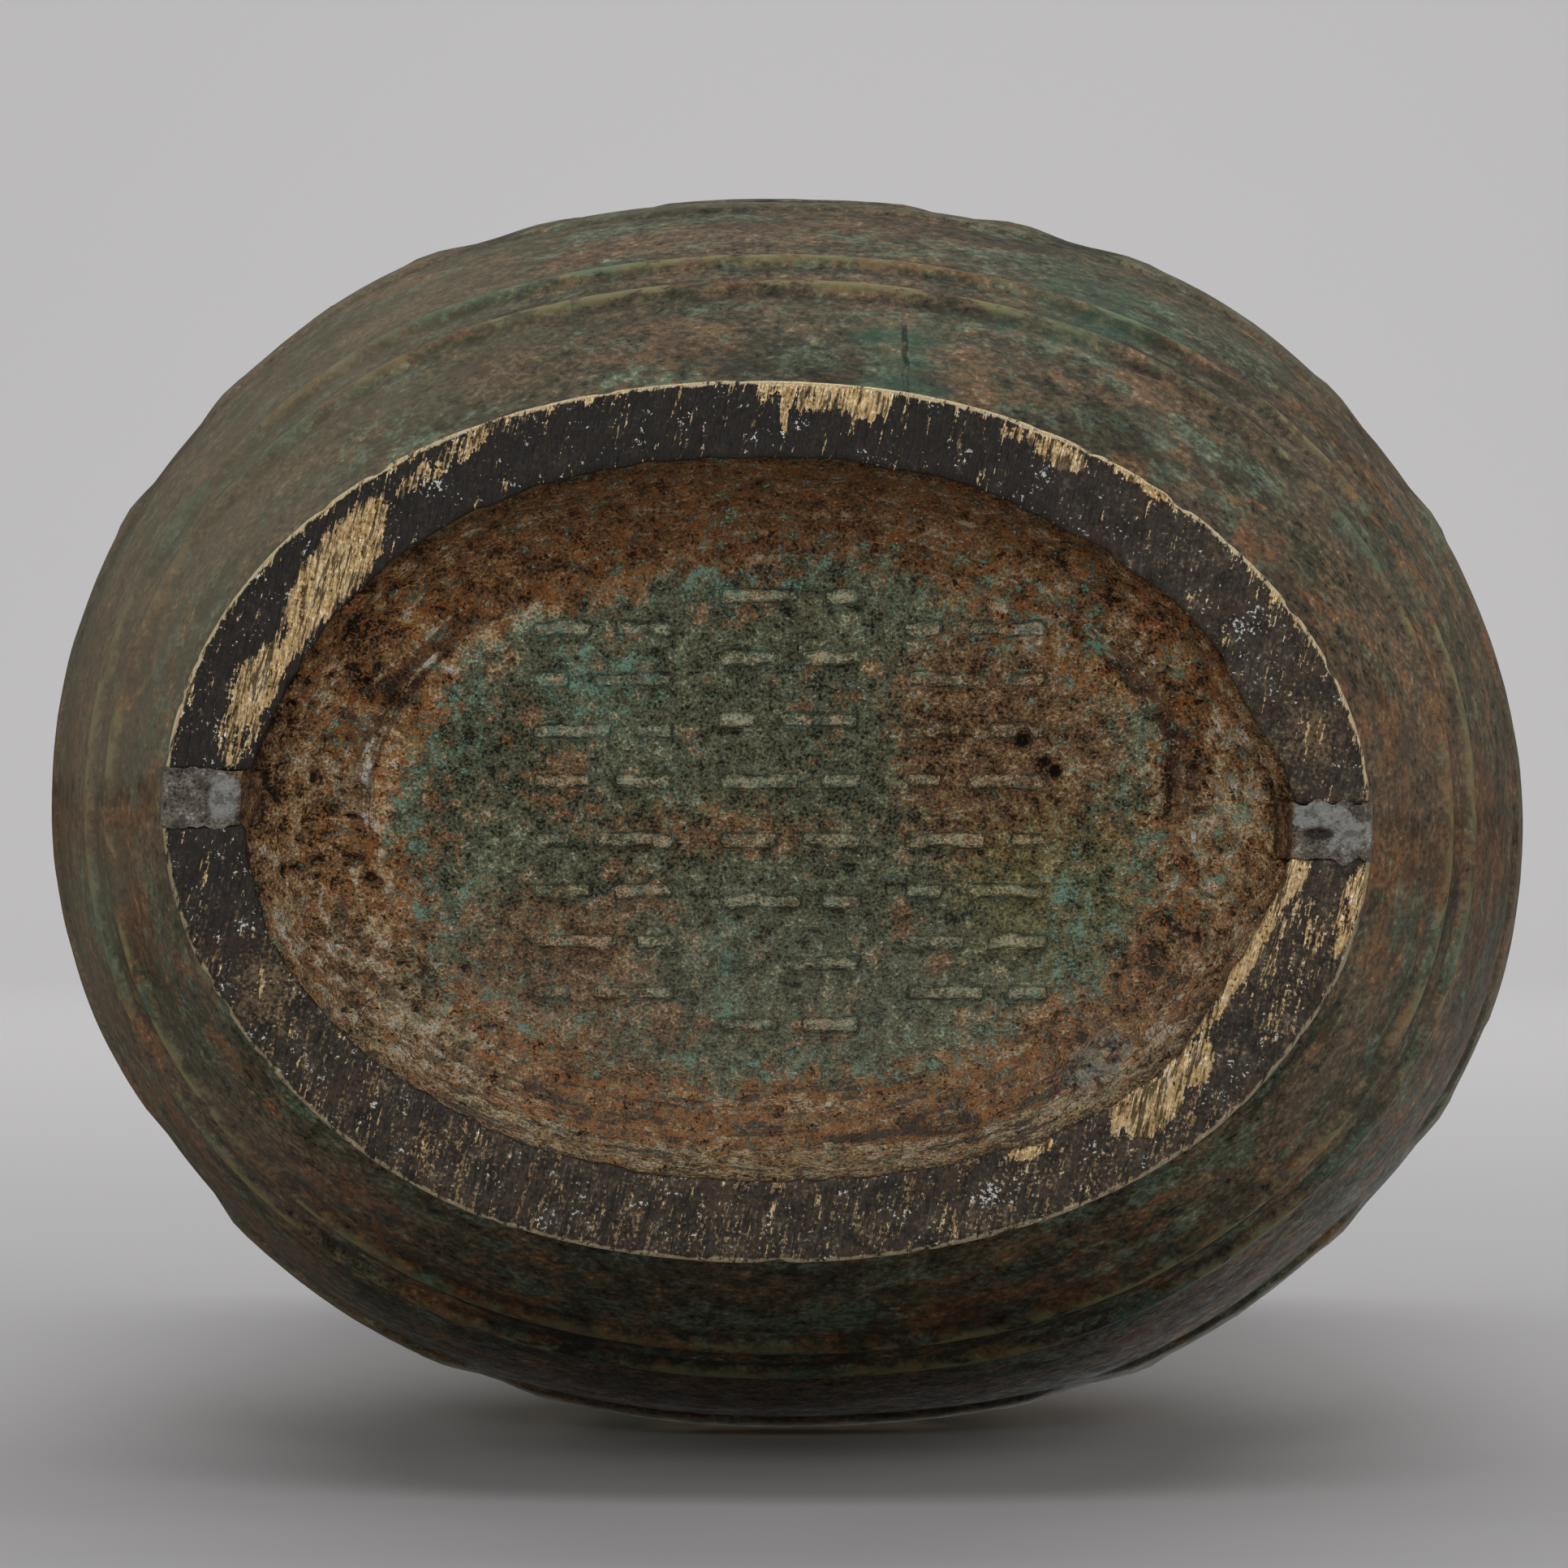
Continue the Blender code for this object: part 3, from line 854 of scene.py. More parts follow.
def recessFinish():
    look = recessLook
    s = Shader("recessPatina")
    finePlace = s.moved((1.0, 7.0, 3.0))
    midPlace = s.moved((13.0, 5.0, 2.0))
    fine1, fine2, fine3 = s.grains(0.36, 2.0, 0.6, finePlace)
    mid1, mid2, mid3 = s.grains(1.8, 4.0, 0.72, midPlace)
    wide1, wide2, wide3 = s.grains(8.0, 5.0, 0.70, s.moved((3.0, 31.0, 8.0)))
    crest = s.value("crest")  # 1 on a stroke, 0 beside it
    relief = s.value("relief")  # millimetres above the plain form
    # relief lightens the grain's tone on crests and darkens it in hollows: painted light and painted shade
    speckle = fine1 * 0.50 + mid1 * 0.50 + relief * 0.16 - crest * 0.055

    def tones(name):
        return grainTones(s, speckle, look[name])

    oval = s.spot((1.2, 0.0), (43.8, 30.2)) + (wide1 - 0.5) * 0.45 + (mid2 - 0.5) * 0.35
    inFloor = s.step(oval, 0.04, 0.09)
    rustSpot = s.spot((33.0, -25.0), (17.0, 9.0), 24.0)
    rustTop = s.step(rustSpot + (mid2 - 0.5) * 2.0 + (wide2 - 0.5) * 1.6, 0.1, 0.3)
    inFloor = inFloor * (1.0 - rustTop)
    brownRight = s.spot((26.0, -9.0), (15.0, 18.0)) * 1.25 + (mid3 - 0.5) * 2.0 + (wide2 - 0.5)
    brownLeft = s.spot((-23.0, 17.0), (14.0, 13.0)) * 1.25 + (mid3 - 0.5) * 2.2 + (wide2 - 0.5)
    brownMiddle = s.spot((-6.0, 1.0), (22.0, 5.0)) * 0.7 + (mid3 - 0.5) * 2.4
    browns = [
        s.step(brownRight, 0.1, 0.35),
        s.step(brownLeft, 0.2, 0.5),
        s.step(brownMiddle, 0.2, 0.5),
        s.step(wide3 + (mid1 - 0.5) * 0.7, 0.55, 0.61),
        s.step(crest + (mid2 - 0.5), 0.4, 0.9) * 0.35,
    ]
    brown = reduce(s.highest, browns)
    floor = s.mix(brown * 0.9, tones("green"), tones("brown"))
    olive = s.spot((31.0, 8.0), (14.0, 12.0), 20.0) + (mid1 - 0.5) * 2.0 + (fine2 - 0.5) * 2.0
    floor = s.mix(s.step(olive, 0.1, 0.5) * 0.60, floor, tones("olive"))
    crust = tones("rust")
    oranges = s.step(mid2 * 0.7 + fine2 * 0.3 + (wide2 - 0.5) * 0.3, 0.52, 0.57) * 0.7
    crust = s.mix(oranges, crust, look["orange"])
    crust = s.mix(s.step(mid3 * 0.7 + fine3 * 0.3, 0.53, 0.58) * 0.6, crust, look["plum"])
    away = s.value("across")  # millimetres outward from the rim's inner edge
    crease = s.step(s.absolute(away + 14.2) + (mid1 - 0.5) * 6.0, 3.0, 0.6)
    crease = crease * s.step(s.absolute(s.x), 24.0, 38.0) * s.step(s.y, 6.0, -3.0)
    crust = s.mix(crease * 0.6, crust, look["plum"])
    flowPlace = s.add("CombineXYZ", inputs={"X": s.x * 0.13, "Y": away * 0.95, "Z": s.y * 0.13})
    flow1, flow2, flow3 = s.grains(1.0, 4.0, 0.70, flowPlace)  # streaks along the wall
    lowSide = s.step(s.y - s.absolute(s.x + 6.0) * 0.35 + (wide1 - 0.5) * 12.0, -4.0, 14.0)
    sandBand = s.step(s.absolute(away + 4.2), 4.6, 1.2) * lowSide
    sandLeft = s.spot((-38.0, 22.0), (20.0, 6.5), 40.0) * 0.8
    sandy = s.highest(sandBand * 0.85, sandLeft) + (flow1 - 0.5) * 3.2 + (mid1 - 0.5) * 1.6 + 0.12
    crust = s.mix(s.step(sandy, 0.35, 0.65) * 0.85, crust, tones("sand"))
    paleEnds = s.step(s.absolute(s.x) + (mid1 - 0.5) * 16.0, 45.0, 54.0) * s.step(s.y, -16.0, -8.0)
    crust = s.mix(paleEnds * s.step(mid2 * 0.6 + fine2 * 0.4, 0.47, 0.53) * 0.55, crust, tones("sand"))
    low = s.step(s.y, 22.0, 30.0)
    crust = s.mix(low * s.step(flow2 + (fine3 - 0.5) * 0.3, 0.53, 0.58) * 0.6, crust, look["orange"])
    plums = s.step(flow3 + (mid2 - 0.5) * 0.3, 0.445, 0.405) * (0.35 + low * 0.5)
    crust = s.mix(plums, crust, look["plum"])
    # painted shade: the recess is darkened on its far side
    crust = s.mix(s.step(s.y, -20.0, -36.0) * 0.55, crust, look["farWallShade"])
    farSide = s.step(s.y + (wide1 - 0.5) * 14.0, -4.0, -18.0)
    ledge = s.step(away + (mid1 - 0.5) * 1.6, -2.9, -2.2) * farSide
    crust = s.mix(ledge * 0.65, crust, look["ledge"])
    shadow = s.step(away + (mid2 - 0.5), -1.25, -0.6) * (0.35 + farSide * 0.55)
    crust = s.mix(shadow, crust, look["black"])
    colour = s.mix(inFloor, crust, floor)
    flake = s.step(s.spot((35.5, 26.0), (5.6, 3.0), -38.0) + (mid2 - 0.5) * 1.6, 0.2, 0.35)
    colour = s.mix(flake * s.step(mid1 * 0.6 + fine2 * 0.4, 0.44, 0.52) * 0.8, colour, look["grey"])
    colour = s.mix(flake * s.step(mid3, 0.50, 0.44) * 0.7, colour, look["black"])
    gathered = [s.step(s.spot(*spot), 0.0, 0.6) for spot in look["turquoiseSpots"]]
    spots = reduce(s.highest, gathered, s.step(s.absolute(oval - 0.09), 0.14, 0.02) * 0.6)
    edge = crest * (1.0 - crest) * 4.0
    grip = mid3 * 0.55 + wide2 * 0.25 + fine3 * 0.40 + spots * 0.075 + edge * 0.045
    colour = s.mix(s.step(grip, 0.650, 0.70) * 0.5, colour, look["teal"])
    colour = s.mix(s.step(grip, 0.70, 0.745) * 0.7, colour, look["turquoise"])
    # painted shade round the strokes' edges
    colour = s.mix(edge * s.step(mid2, 0.56, 0.44) * 0.5, colour, look["strokeEdgeShade"])
    # painted light: the recess is paled towards its lower side, where light from above falls
    paintedLight = s.step(s.y + (mid1 - 0.5) * 24.0, 0.0, 22.0)
    colour = s.mix(paintedLight * 0.13, colour, look["paintedLight"])
    sparkle = s.step(fine2 * 0.6 + mid2 * 0.4, 0.625, 0.645) * s.step(wide3, 0.44, 0.54)
    colour = s.mix(sparkle * 0.7, colour, look["white"])
    pits = s.step(fine2 * 0.3 + mid3 * 0.7, 0.42, 0.385)
    colour = s.mix(pits * (0.85 - inFloor * 0.35), colour, look["black"])
    # the bump's own textures: one channel costs a third of three
    fine = s.grain(0.36, 2.0, 0.6, finePlace)
    crispCrest = s.step(crest + (fine - 0.5) * 0.5, 0.25, 0.75)
    height = fine * 0.5 + s.grain(1.8, 3.0, 0.72, midPlace) * 1.3 + crispCrest * 0.45
    s.surface.inputs["Specular IOR Level"].default_value = 0.35
    return s.finish(Base_Color=colour, Roughness=0.80 - sparkle * 0.35, Normal=s.bump(height, 0.0015))


rimLook = {
    "dark": ("#18110b", "#382d22", "#4e4335", "#8f806a"),
    "brass": ("#5f4a2e", "#cfad78", "#f4d6a4", "#fff4de"),
    "rust": "#59402f",
    "speck": "#fafafa",
    "green": "#3c4430",
    "deep": "#17110c",
    "line": "#f3dcae",
    "tan": "#8b7350",
    "markTurn": -14.0,
    # where pale specks gather: middle in millimetres
    "speckSpots": (
        (-35.3, -36.0),
        (37.1, -31.7),
        (50.6, -21.2),
        (23.6, 39.6),
        (-53.3, 2.3),
        (1.0, -41.0),
        (35.0, 35.5),
    ),
    # worn brass patches: middle and radii in millimetres, turn in degrees, strength
    "patches": (
        ((-46.0, -27.6), (8.6, 3.1), -54.0, 1.25),
        ((-54.7, -14.6), (5.6, 2.3), -61.0, 1.1),
        ((-50.4, -19.8), (4.2, 1.2), -60.0, 1.1),
        ((-56.4, -10.0), (4.6, 2.4), -72.0, 0.62),
        ((56.0, 5.7), (4.6, 1.9), -62.0, 1.15),
        ((49.9, 16.4), (10.0, 1.5), -56.0, 1.05),
        ((45.4, 25.6), (3.2, 2.6), -40.0, 1.1),
        ((40.9, 30.5), (4.2, 2.9), -38.0, 1.2),
        ((62.6, 9.0), (6.0, 1.3), -70.0, 0.75),
        ((55.5, 15.0), (8.0, 5.0), -60.0, 0.30),
        ((28.3, 35.1), (3.0, 0.9), -18.0, 0.9),
        ((31.7, -39.2), (3.2, 1.3), 25.0, 0.95),
        ((27.6, -41.3), (2.6, 0.8), 22.0, 0.55),
        ((40.8, -36.3), (3.6, 0.9), 36.0, 0.75),
        ((11.0, -45.4), (2.9, 2.2), 3.0, 1.15),
        ((6.0, -45.9), (7.5, 1.9), 2.0, 0.8),
        ((2.0, -44.9), (0.5, 3.0), 0.0, 0.95),
        ((-34.0, -39.0), (7.0, 1.3), -33.0, 0.7),
    ),
}


def rimFinish():
    look = rimLook
    s = Shader("rimFiled")
    across = s.value("across")
    leaning = s.moved((0.0, 0.0, 0.0), turn=look["markTurn"])  # file marks all run nearly along Y
    marks = s.moved((0.0, 0.0, 0.0), (2.4, 0.28, 1.0), vector=leaning)
    wide = s.moved((5.0, 3.0, 0.0), (0.9, 0.15, 1.0), vector=leaning)
    thin1, thin2, thin3 = s.grains(1.0, 3.0, 0.7, marks)
    bold1, bold2, bold3 = s.grains(1.0, 4.0, 0.75, wide)
    blotch1, blotch2, blotch3 = s.grains(3.4, 5.0, 0.74)
    fine = s.grain(0.40, 2.0, 0.65)
    nearSide = s.step(s.y, -6.0, 40.0)
    grainy = thin1 * 0.24 + blotch1 * 0.44 + fine * 0.32 - 0.008
    dark = s.ramp(grainy, *zip((0.40, 0.45, 0.53, 0.60), look["dark"]))
    dark = s.mix(s.step(blotch2 + (fine - 0.5) * 0.4, 0.52, 0.62) * 0.55, dark, look["rust"])
    dark = s.mix(s.step(blotch3 + (thin3 - 0.5) * 0.3, 0.57, 0.65) * 0.5, dark, look["green"])
    deep = s.step(thin2 + (blotch2 - 0.5) * 0.5, 0.46, 0.38) * (0.35 + nearSide * 0.35)
    dark = s.mix(deep, dark, look["deep"])
    dark = s.mix((1.0 - nearSide) * s.step(s.x, 50.0, 20.0) * 0.80, dark, look["deep"])
    granular = (fine - 0.5) * 4.0 + (blotch1 - 0.5) * 3.0
    tan = s.highest(s.spot((-53.0, 18.2), (7.5, 5.5), -60.0), s.spot((58.2, -9.2), (5.0, 6.4)))
    dark = s.mix(s.step(tan + granular, 0.25, 1.1) * 0.65, dark, look["tan"])
    patches = [s.step(s.spot(*spot), -0.25, 0.35) * strength for *spot, strength in look["patches"]]
    worn = reduce(s.highest, patches)
    farLine = s.step(s.y, 6.0, -12.0)
    line = s.step(across + (blotch1 - 0.5) * 1.6, 8.02, 8.26) * (0.45 + farLine * 0.65)
    fringe = s.step(across, 7.0, 8.5) * farLine * 0.45
    raw = worn + fringe + (bold1 - 0.5) * 2.6 + (thin2 - 0.5) * 2.8 + (fine - 0.5) * 1.2
    bare = s.step(raw, 0.50, 0.60)
    cuts = s.step(thin3 * 0.5 + bold3 * 0.5, 0.485, 0.455)
    brass = grainTones(s, thin1 * 0.35 + bold2 * 0.30 + fine * 0.35, look["brass"])
    brass = s.mix(cuts * 0.8, brass, look["dark"][1])
    colour = s.mix(bare, dark, brass)
    glints = s.step(thin3 * 0.55 + fine * 0.45 + (bold3 - 0.5) * 0.5, 0.575, 0.605) * nearSide
    colour = s.mix(glints * 0.55, colour, look["brass"][1])
    colour = s.mix(line * s.step(thin1 + (bold2 - 0.5), 0.36, 0.46), colour, look["line"])
    gathered = reduce(s.highest, [s.step(s.spot(spot, (3.4, 2.4)), 0.0, 0.8) for spot in look["speckSpots"]])
    specks = s.step(fine * 0.5 + blotch3 * 0.5 + gathered * 0.045, 0.605, 0.62)
    specks = specks * s.highest(s.step(bold3, 0.45, 0.50), gathered)
    colour = s.mix(specks * 0.85, colour, look["speck"])
    height = s.grain(1.0, 2.0, 0.7, marks) * 0.7 + s.grain(1.0, 3.0, 0.75, wide) * 0.8
    height = height + s.grain(3.4, 4.0, 0.7) * 0.9
    s.surface.inputs["Specular IOR Level"].default_value = 0.45
    rough = 0.56 - bare * 0.10
    return s.finish(Base_Color=colour, Metallic=bare * 0.75, Roughness=rough, Normal=s.bump(height, 0.00035))


bodyLook = {
    "olive": ("#25231b", "#504c39", "#6f6a52", "#9d987b"),
    "brown": ("#2a211a", "#695843", "#90795d", "#c4ad8e"),
    "rust": ("#28180f", "#734a2f", "#966a44", "#c49a6c"),
    "verdigris": ("#262c24", "#5c6b55", "#82947a", "#b2c2a4"),
    "brightGreen": "#4f9278",
    "yellowGreen": "#a9a06c",
    "dark": "#1f1a15",
    "light": "#90876c",
    "paintedSheen": "#959082",
    "crack": "#1a1713",
    "crackX": 15.6,
    "leftSeamY": -3.1,
    "rightSeamY": 0.2,
}


def bodyFinish():
    look = bodyLook
    s = Shader("bodyPatina")
    wide1, wide2, wide3 = s.grains(17.0, 5.0, 0.66, s.belt(40.0))
    mid1, mid2, mid3 = s.grains(6.0, 5.0, 0.66, s.belt(32.0, (0.0, 0.0, 40.0)))
    softPlace = s.moved((40.0, 9.0, 5.0))
    soft1, soft2, soft3 = s.grains(2.4, 3.0, 0.62, softPlace)
    finePlace = s.moved((4.0, 2.0, 8.0))
    fine1, fine2, fine3 = s.grains(0.8, 3.0, 0.65, finePlace)
    speckle = fine1 * 0.45 + soft1 * 0.30 + mid2 * 0.25

    def tones(name):
        return grainTones(s, speckle, look[name])

    underside = s.step(s.y + (wide1 - 0.5) * 30.0, 28.0, 60.0)
    topSide = s.step(s.y + s.x * 0.2, -20.0, -50.0)
    nearFoot = s.step(s.z, 100.0, 70.0)
    ends = s.step(s.absolute(s.x) + (wide1 - 0.5) * 110.0, 40.0, 78.0)
    brownish = wide2 + (mid1 - 0.5) * 0.7 + (soft2 - 0.5) * 0.3 + ends * 0.06
    colour = s.mix(s.step(brownish, 0.49, 0.56) * 0.85, tones("olive"), tones("brown"))
    rusty = mid2 + (soft1 - 0.5) * 0.5 + (fine2 - 0.5) * 0.2 + (wide3 - 0.5) * 0.5 + ends * 0.02
    colour = s.mix(s.step(rusty, 0.545, 0.60) * (0.85 - topSide * nearFoot * 0.5), colour, tones("rust"))
    greenish = mid3 + (soft2 - 0.5) * 0.5 + (fine3 - 0.5) * 0.2 - (wide2 - 0.5) * 0.5 - ends * 0.02
    colour = s.mix(s.step(greenish, 0.535, 0.60) * 0.75, colour, tones("verdigris"))
    colour = s.mix(s.step(wide3 + (mid1 - 0.5) * 0.5, 0.52, 0.62) * 0.40, colour, look["dark"])
    colour = s.mix(s.step(mid1 + (soft2 - 0.5) * 0.5, 0.44, 0.36) * 0.45, colour, look["dark"])
    for middle in bowstrings["heights"]:
        away = s.absolute(s.z - middle * 1000.0 + (soft1 - 0.5) * 1.4)
        ridge = s.step(away, 1.7, 0.4)
        yellow = ridge * s.step(mid1 + (soft2 - 0.5) * 0.4, 0.47, 0.55) * 0.8
        colour = s.mix(yellow, colour, look["yellowGreen"])
        colour = s.mix(ridge * s.step(mid2, 0.51, 0.58) * 0.65, colour, tones("rust"))
        colour = s.mix(ridge * s.step(mid3, 0.53, 0.59) * 0.45, colour, look["brightGreen"])
        # painted shade in the grooves beside each bowstring
        groove = s.step(s.absolute(away - 2.4), 1.0, 0.2) * s.step(mid3, 0.40, 0.54)
        colour = s.mix(groove * 0.45, colour, look["dark"])
    # painted shade: the side that lies on the table is darkened near the foot
    colour = s.mix(underside * nearFoot * 0.50, colour, look["dark"])
    # painted sheen on the upper side near the foot
    colour = s.mix(topSide * nearFoot * 0.10, colour, look["paintedSheen"])
    leftTop = s.step(s.x + s.y * 0.6 + (mid2 - 0.5) * 60.0, -50.0, -85.0) * nearFoot
    colour = s.mix(leftTop * 0.40, colour, look["light"])
    rightRust = s.spot((72.0, -7.0), (16.0, 17.0)) + (mid3 - 0.5) * 2.4 + (soft3 - 0.5)
    colour = s.mix(s.step(rightRust, 0.1, 0.6) * 0.30, colour, tones("rust"))
    rightGreen = s.spot((36.0, -58.0), (16.0, 9.0), 15.0) + (mid1 - 0.5) * 2.4
    colour = s.mix(s.step(rightGreen, 0.2, 0.7) * 0.22, colour, look["brightGreen"])
    raised = s.value("relief") + (soft1 - 0.5) * 0.3
    frieze = s.step(s.z, 80.0, 84.0) * s.step(s.z, 144.0, 140.0)
    colour = s.mix(s.step(raised, 0.15, 0.40) * frieze * 0.30, colour, look["light"])
    colour = s.mix(s.step(raised, 0.10, -0.10) * frieze * 0.38, colour, look["dark"])
    # painted sheen at both ends of the belly
    colour = s.mix(ends * 0.20, colour, look["paintedSheen"])
    # mould seams at the oval's ends
    for side, middle in ((-1.0, look["leftSeamY"]), (1.0, look["rightSeamY"])):
        end = s.step(s.x * side + (mid1 - 0.5) * 20.0, 62.0, 72.0)
        aside = s.y - middle + (soft1 - 0.5) * 3.0 + (mid3 - 0.5) * 5.0
        beside = s.step(aside, -1.0, 2.4) * s.step(aside, 14.0, 2.0) * end
        colour = s.mix(beside * 0.28, colour, tones("rust"))
        seam = s.step(s.absolute(aside), 2.6, 0.2) * end * s.step(mid2, 0.46, 0.58)
        colour = s.mix(seam * 0.42, colour, look["dark"])
    crackAway = s.absolute(s.x - look["crackX"] + s.z * 0.02 + (soft1 - 0.5) * 1.0)
    crackSpan = s.step(s.z, 6.0, 16.0) * s.step(s.z, 47.0, 41.0) * s.step(s.y, 0.0, -10.0)
    halo = s.step(crackAway + (mid1 - 0.5) * 24.0, 7.0, 0.0) * crackSpan
    colour = s.mix(halo * 0.28, colour, look["brightGreen"])
    crack = s.step(crackAway, 0.42, 0.08) * crackSpan * s.step(soft2, 0.40, 0.50)
    colour = s.mix(crack * 0.75, colour, look["crack"])
    # the bump's own textures, as in the recess
    soft = s.grain(2.4, 3.0, 0.62, softPlace)
    fine = s.grain(0.8, 3.0, 0.65, finePlace)
    cut = s.step(s.absolute(s.x - look["crackX"] + s.z * 0.02 + (soft - 0.5) * 1.0), 0.42, 0.08) * crackSpan
    height = soft + s.grain(7.0, 3.0, 0.66) * 1.2 + fine * 0.5 - cut * 1.2
    rough = 0.68 + (soft3 - 0.5) * 0.5
    s.surface.inputs["Specular IOR Level"].default_value = 0.10
    return s.finish(Base_Color=colour, Roughness=rough, Normal=s.bump(height, 0.00022))


leadLook = {
    "tones": ("#352e27", "#6f665a", "#958c80", "#d4cfc4"),
    "light": "#bcbeb9",
    "pit": "#1f1813",
    "stain": "#392b20",
    "crust": ("#2b1a10", "#6b4a2e", "#a9855c"),
}


def leadFinish():
    look = leadLook
    s = Shader("leadSmeared")
    fine = s.grain(0.36, 2.0, 0.6)
    mid1, mid2, mid3 = s.grains(1.6, 4.0, 0.72)
    colour = grainTones(s, fine * 0.45 + mid1 * 0.55, look["tones"])
    square = s.highest(s.absolute(s.x + 57.2) * 0.33, s.absolute(s.y + 2.7) * 0.36)
    inner = 1.0 - square + (mid2 - 0.5) * 0.9
    right = s.spot((59.0, -0.9), (4.2, 1.7)) + (mid2 - 0.5) * 0.9
    outer = s.spot((62.2, 1.0), (3.0, 2.4)) * 0.7 + (mid2 - 0.5) * 1.8
    light = reduce(s.highest, [inner, right, outer])
    colour = s.mix(s.step(light, 0.1, 0.35) * 0.7, colour, look["light"])
    pit = s.step(s.spot((59.4, 1.2), (2.2, 0.8)) + (mid1 - 0.5) * 1.2, 0.1, 0.4)
    colour = s.mix(pit * 0.8, colour, look["pit"])
    colour = s.mix(s.step(mid3 + (fine - 0.5) * 0.4, 0.53, 0.58) * 0.5, colour, look["stain"])
    crusted = s.step(s.absolute(s.x) + (mid2 - 0.5) * 4.0, 57.2, 56.2)
    rusty = s.ramp(mid1 * 0.6 + fine * 0.4, *zip((0.42, 0.5, 0.58), look["crust"]))
    colour = s.mix(crusted, colour, rusty)
    height = fine * 0.5 + mid1 * 1.2
    return s.finish(Base_Color=colour, Roughness=0.55, Normal=s.bump(height, 0.0008))


# Pieces
body = buildVase()
for material in (recessFinish(), rimFinish(), bodyFinish()):
    body.data.materials.append(material)
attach(body, "root")
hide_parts("vase_body")
print("vase body", len(body.data.polygons), "faces", len(body.data.vertices), "points")

lead = leadFinish()
for name, side, middleY in (("Left", -1, slots["leftY"]), ("Right", 1, slots["rightY"])):
    piece = buildFill("leadFill" + name, side, middleY)
    piece.data.materials.append(lead)
    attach(piece, "root")
    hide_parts("lead_fill_" + name.lower())
print("lead fills done")


# Stage: the photograph's table is the plane that the belly lies on, and it curves up far behind
stage = {
    "tableY": 0.0753,
    "front": -1.6,
    "curveStart": 1.6,
    "curveRadius": 1.0,
    "height": 2.2,
    "halfWidth": 2.6,
    "colour": "#dddbdc",
    "openFrom": (74.0, 108.0),  # millimetres above the foot
}


def sweepProfile():
    points = [(stage["tableY"], stage["front"]), (stage["tableY"], 0.0)]
    points += [(stage["tableY"], z) for z in steps(0.0, stage["curveStart"], 4)]
    radius = stage["curveRadius"]
    for turn in steps(0.0, math.pi / 2.0, 16):
        y = stage["tableY"] - radius * (1.0 - math.cos(turn))
        points.append((y, stage["curveStart"] + radius * math.sin(turn)))
    points.append((stage["tableY"] - stage["height"], stage["curveStart"] + radius))
    return points


def buildStage():
    form = bmesh.new()
    columns = []
    for x in (-stage["halfWidth"], stage["halfWidth"]):
        columns.append([form.verts.new((x, y, z)) for y, z in sweepProfile()])
    for row in range(len(columns[0]) - 1):
        form.faces.new((columns[0][row], columns[0][row + 1], columns[1][row + 1], columns[1][row]))
    form.normal_update()
    if form.faces[:][0].normal.y > 0.0:
        bmesh.ops.reverse_faces(form, faces=form.faces[:])
    return makeThing("sweep", form)


# paper that shades and lights the vase's lower part and is open to rays from behind above it
def stageFinish():
    s = Shader("sweepPaper")
    s.finish(Base_Color=stage["colour"], Roughness=0.9)
    clear = s.add("BsdfTransparent")
    seen = s.add("LightPath", output="Is Camera Ray")
    back = s.add("NewGeometry", output="Backfacing")
    above = (1.0 - seen) * s.step(s.z, *stage["openFrom"])
    paper = Wire(s, s.surface.outputs["BSDF"])
    s.output(s.add("MixShader", {}, {0: s.highest(back, above), 1: paper, 2: clear}))
    return s.owner


sweep = buildStage()
sweep.data.materials.append(stageFinish())
print("stage done")

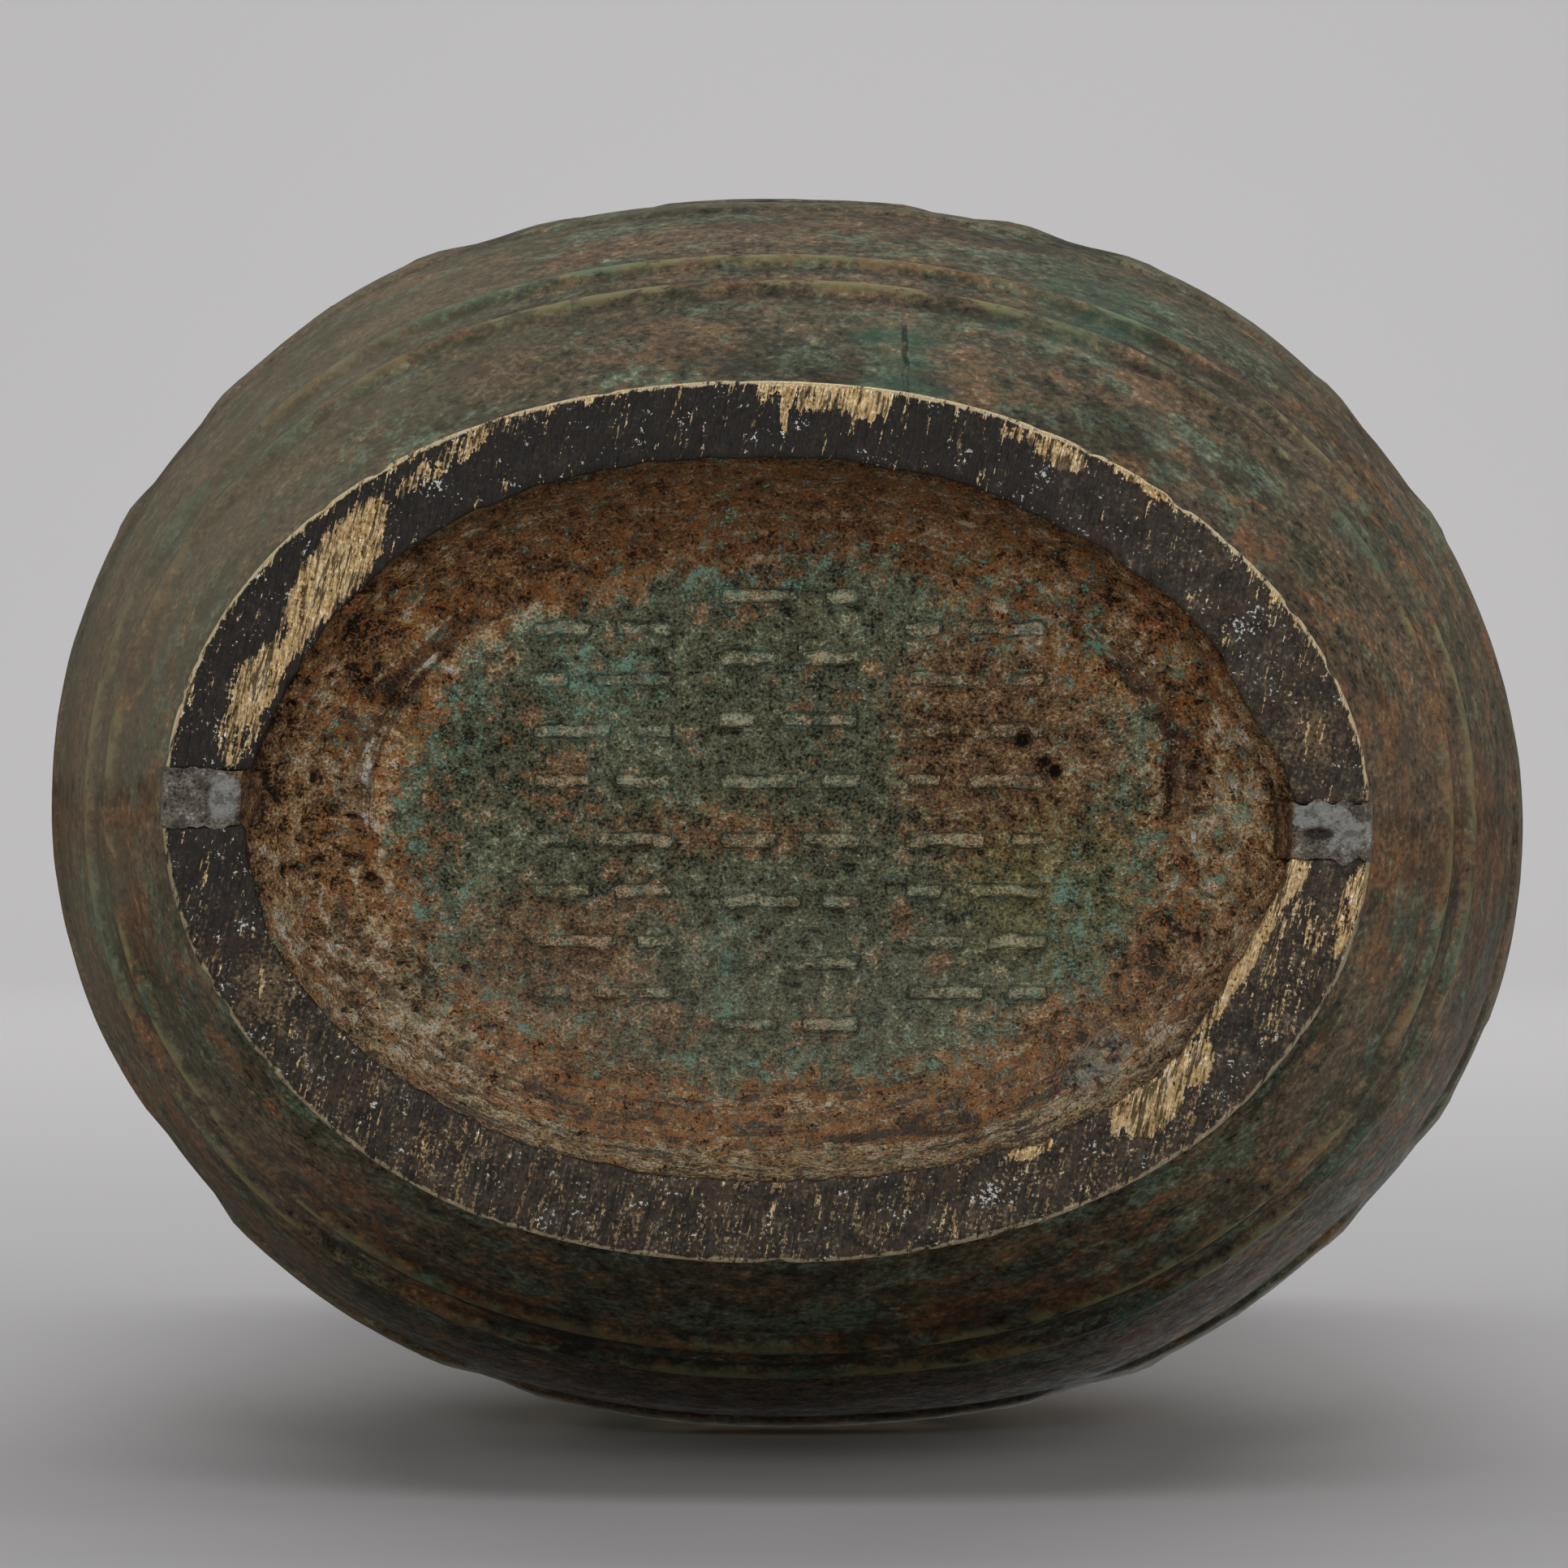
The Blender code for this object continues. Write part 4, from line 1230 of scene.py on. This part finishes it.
# places in metres, sizes as width and height, power in watts; gloss is a lamp's share in highlights
lamps = {
    "softboxBehind": {"place": (0.0, -1.2, 0.9), "aim": (0.0, 0.0, 0.5), "size": (2.2, 1.2), "power": 10.6},
    "softboxAbove": {"place": (0.0, -1.1, -0.9), "aim": (0.0, 0.0, 0.0), "size": (0.7, 0.4), "power": 3.2},
    "frontFill": {"place": (0.0, -0.5, -1.57), "aim": (0.0, 0.0, 0.0), "size": (0.9, 0.4), "power": 5.0},
    "leftFill": {"place": (-1.3, -0.6, 0.3), "aim": (0.0, 0.0, 0.1), "size": (0.9, 1.0), "power": 2.2},
    "rightFill": {"place": (1.3, -0.55, 0.2), "aim": (0.0, 0.0, 0.1), "size": (0.9, 1.0), "power": 2.9},
    "backHigh": {
        "place": (0.35, 0.65, 1.5), "aim": (0.0, 0.0, 0.14), "size": (1.2, 0.6), "power": 5.0, "gloss": 0.1
    },
    "backLow": {
        "place": (-0.4, 1.3, 0.2), "aim": (0.0, 0.0, 0.12), "size": (1.2, 1.0), "power": 1.8, "gloss": 0.1
    },
    "backdropLamp": {"place": (0.0, -1.5, 1.4), "aim": (0.0, -0.6, 2.6), "size": (2.6, 0.8), "power": 18.2},
}


def addLamp(name, look):
    light = bpy.data.lights.new(name, "AREA")
    light.shape = "RECTANGLE"
    light.size, light.size_y = look["size"]
    light.energy = look["power"]
    light.specular_factor = look.get("gloss", 1.0)
    thing = bpy.data.objects.new(name, light)
    thing.location = look["place"]
    direction = Vector(look["aim"]) - Vector(look["place"])
    thing.rotation_euler = direction.to_track_quat("-Z", "Y").to_euler()
    thing.visible_camera = False
    bpy.context.scene.collection.objects.link(thing)


for name, look in lamps.items():
    addLamp(name, look)

room = {"light": "#fffdfe", "strength": 0.06, "seen": "#d2d1d1"}


def buildRoom():
    world = bpy.data.worlds.new("paleRoom")
    s = NodeTree(world)
    lit = s.add("Background", {}, {"Color": room["light"], "Strength": room["strength"]})
    shown = s.add("Background", {}, {"Color": room["seen"], "Strength": 1.0})
    seen = s.add("LightPath", output="Is Camera Ray")
    s.output(s.add("MixShader", {}, {0: seen, 1: lit, 2: shown}))
    bpy.context.scene.world = world


buildRoom()
bpy.context.scene.view_settings.view_transform = "Standard"

view = {
    "place": Vector((0.0173, -0.0087, -0.700)),
    "look": Vector((-0.02186, 0.00646, 1.0)),
    "up": Vector((0.0, -1.0, 0.0)),
    "lens": 150.0,
}


def addCamera():
    data = bpy.data.cameras.new("underside")
    data.lens = view["lens"]
    data.sensor_width = 36.0
    data.clip_start = 0.05
    data.clip_end = 20.0
    look = view["look"].normalized()
    right = look.cross(view["up"]).normalized()
    up = right.cross(look)
    turn = Matrix((right, up, -look)).transposed()
    camera = bpy.data.objects.new("underside", data)
    camera.matrix_world = Matrix.Translation(view["place"]) @ turn.to_4x4()
    bpy.context.scene.collection.objects.link(camera)
    bpy.context.scene.camera = camera


addCamera()
print("lights and camera done")
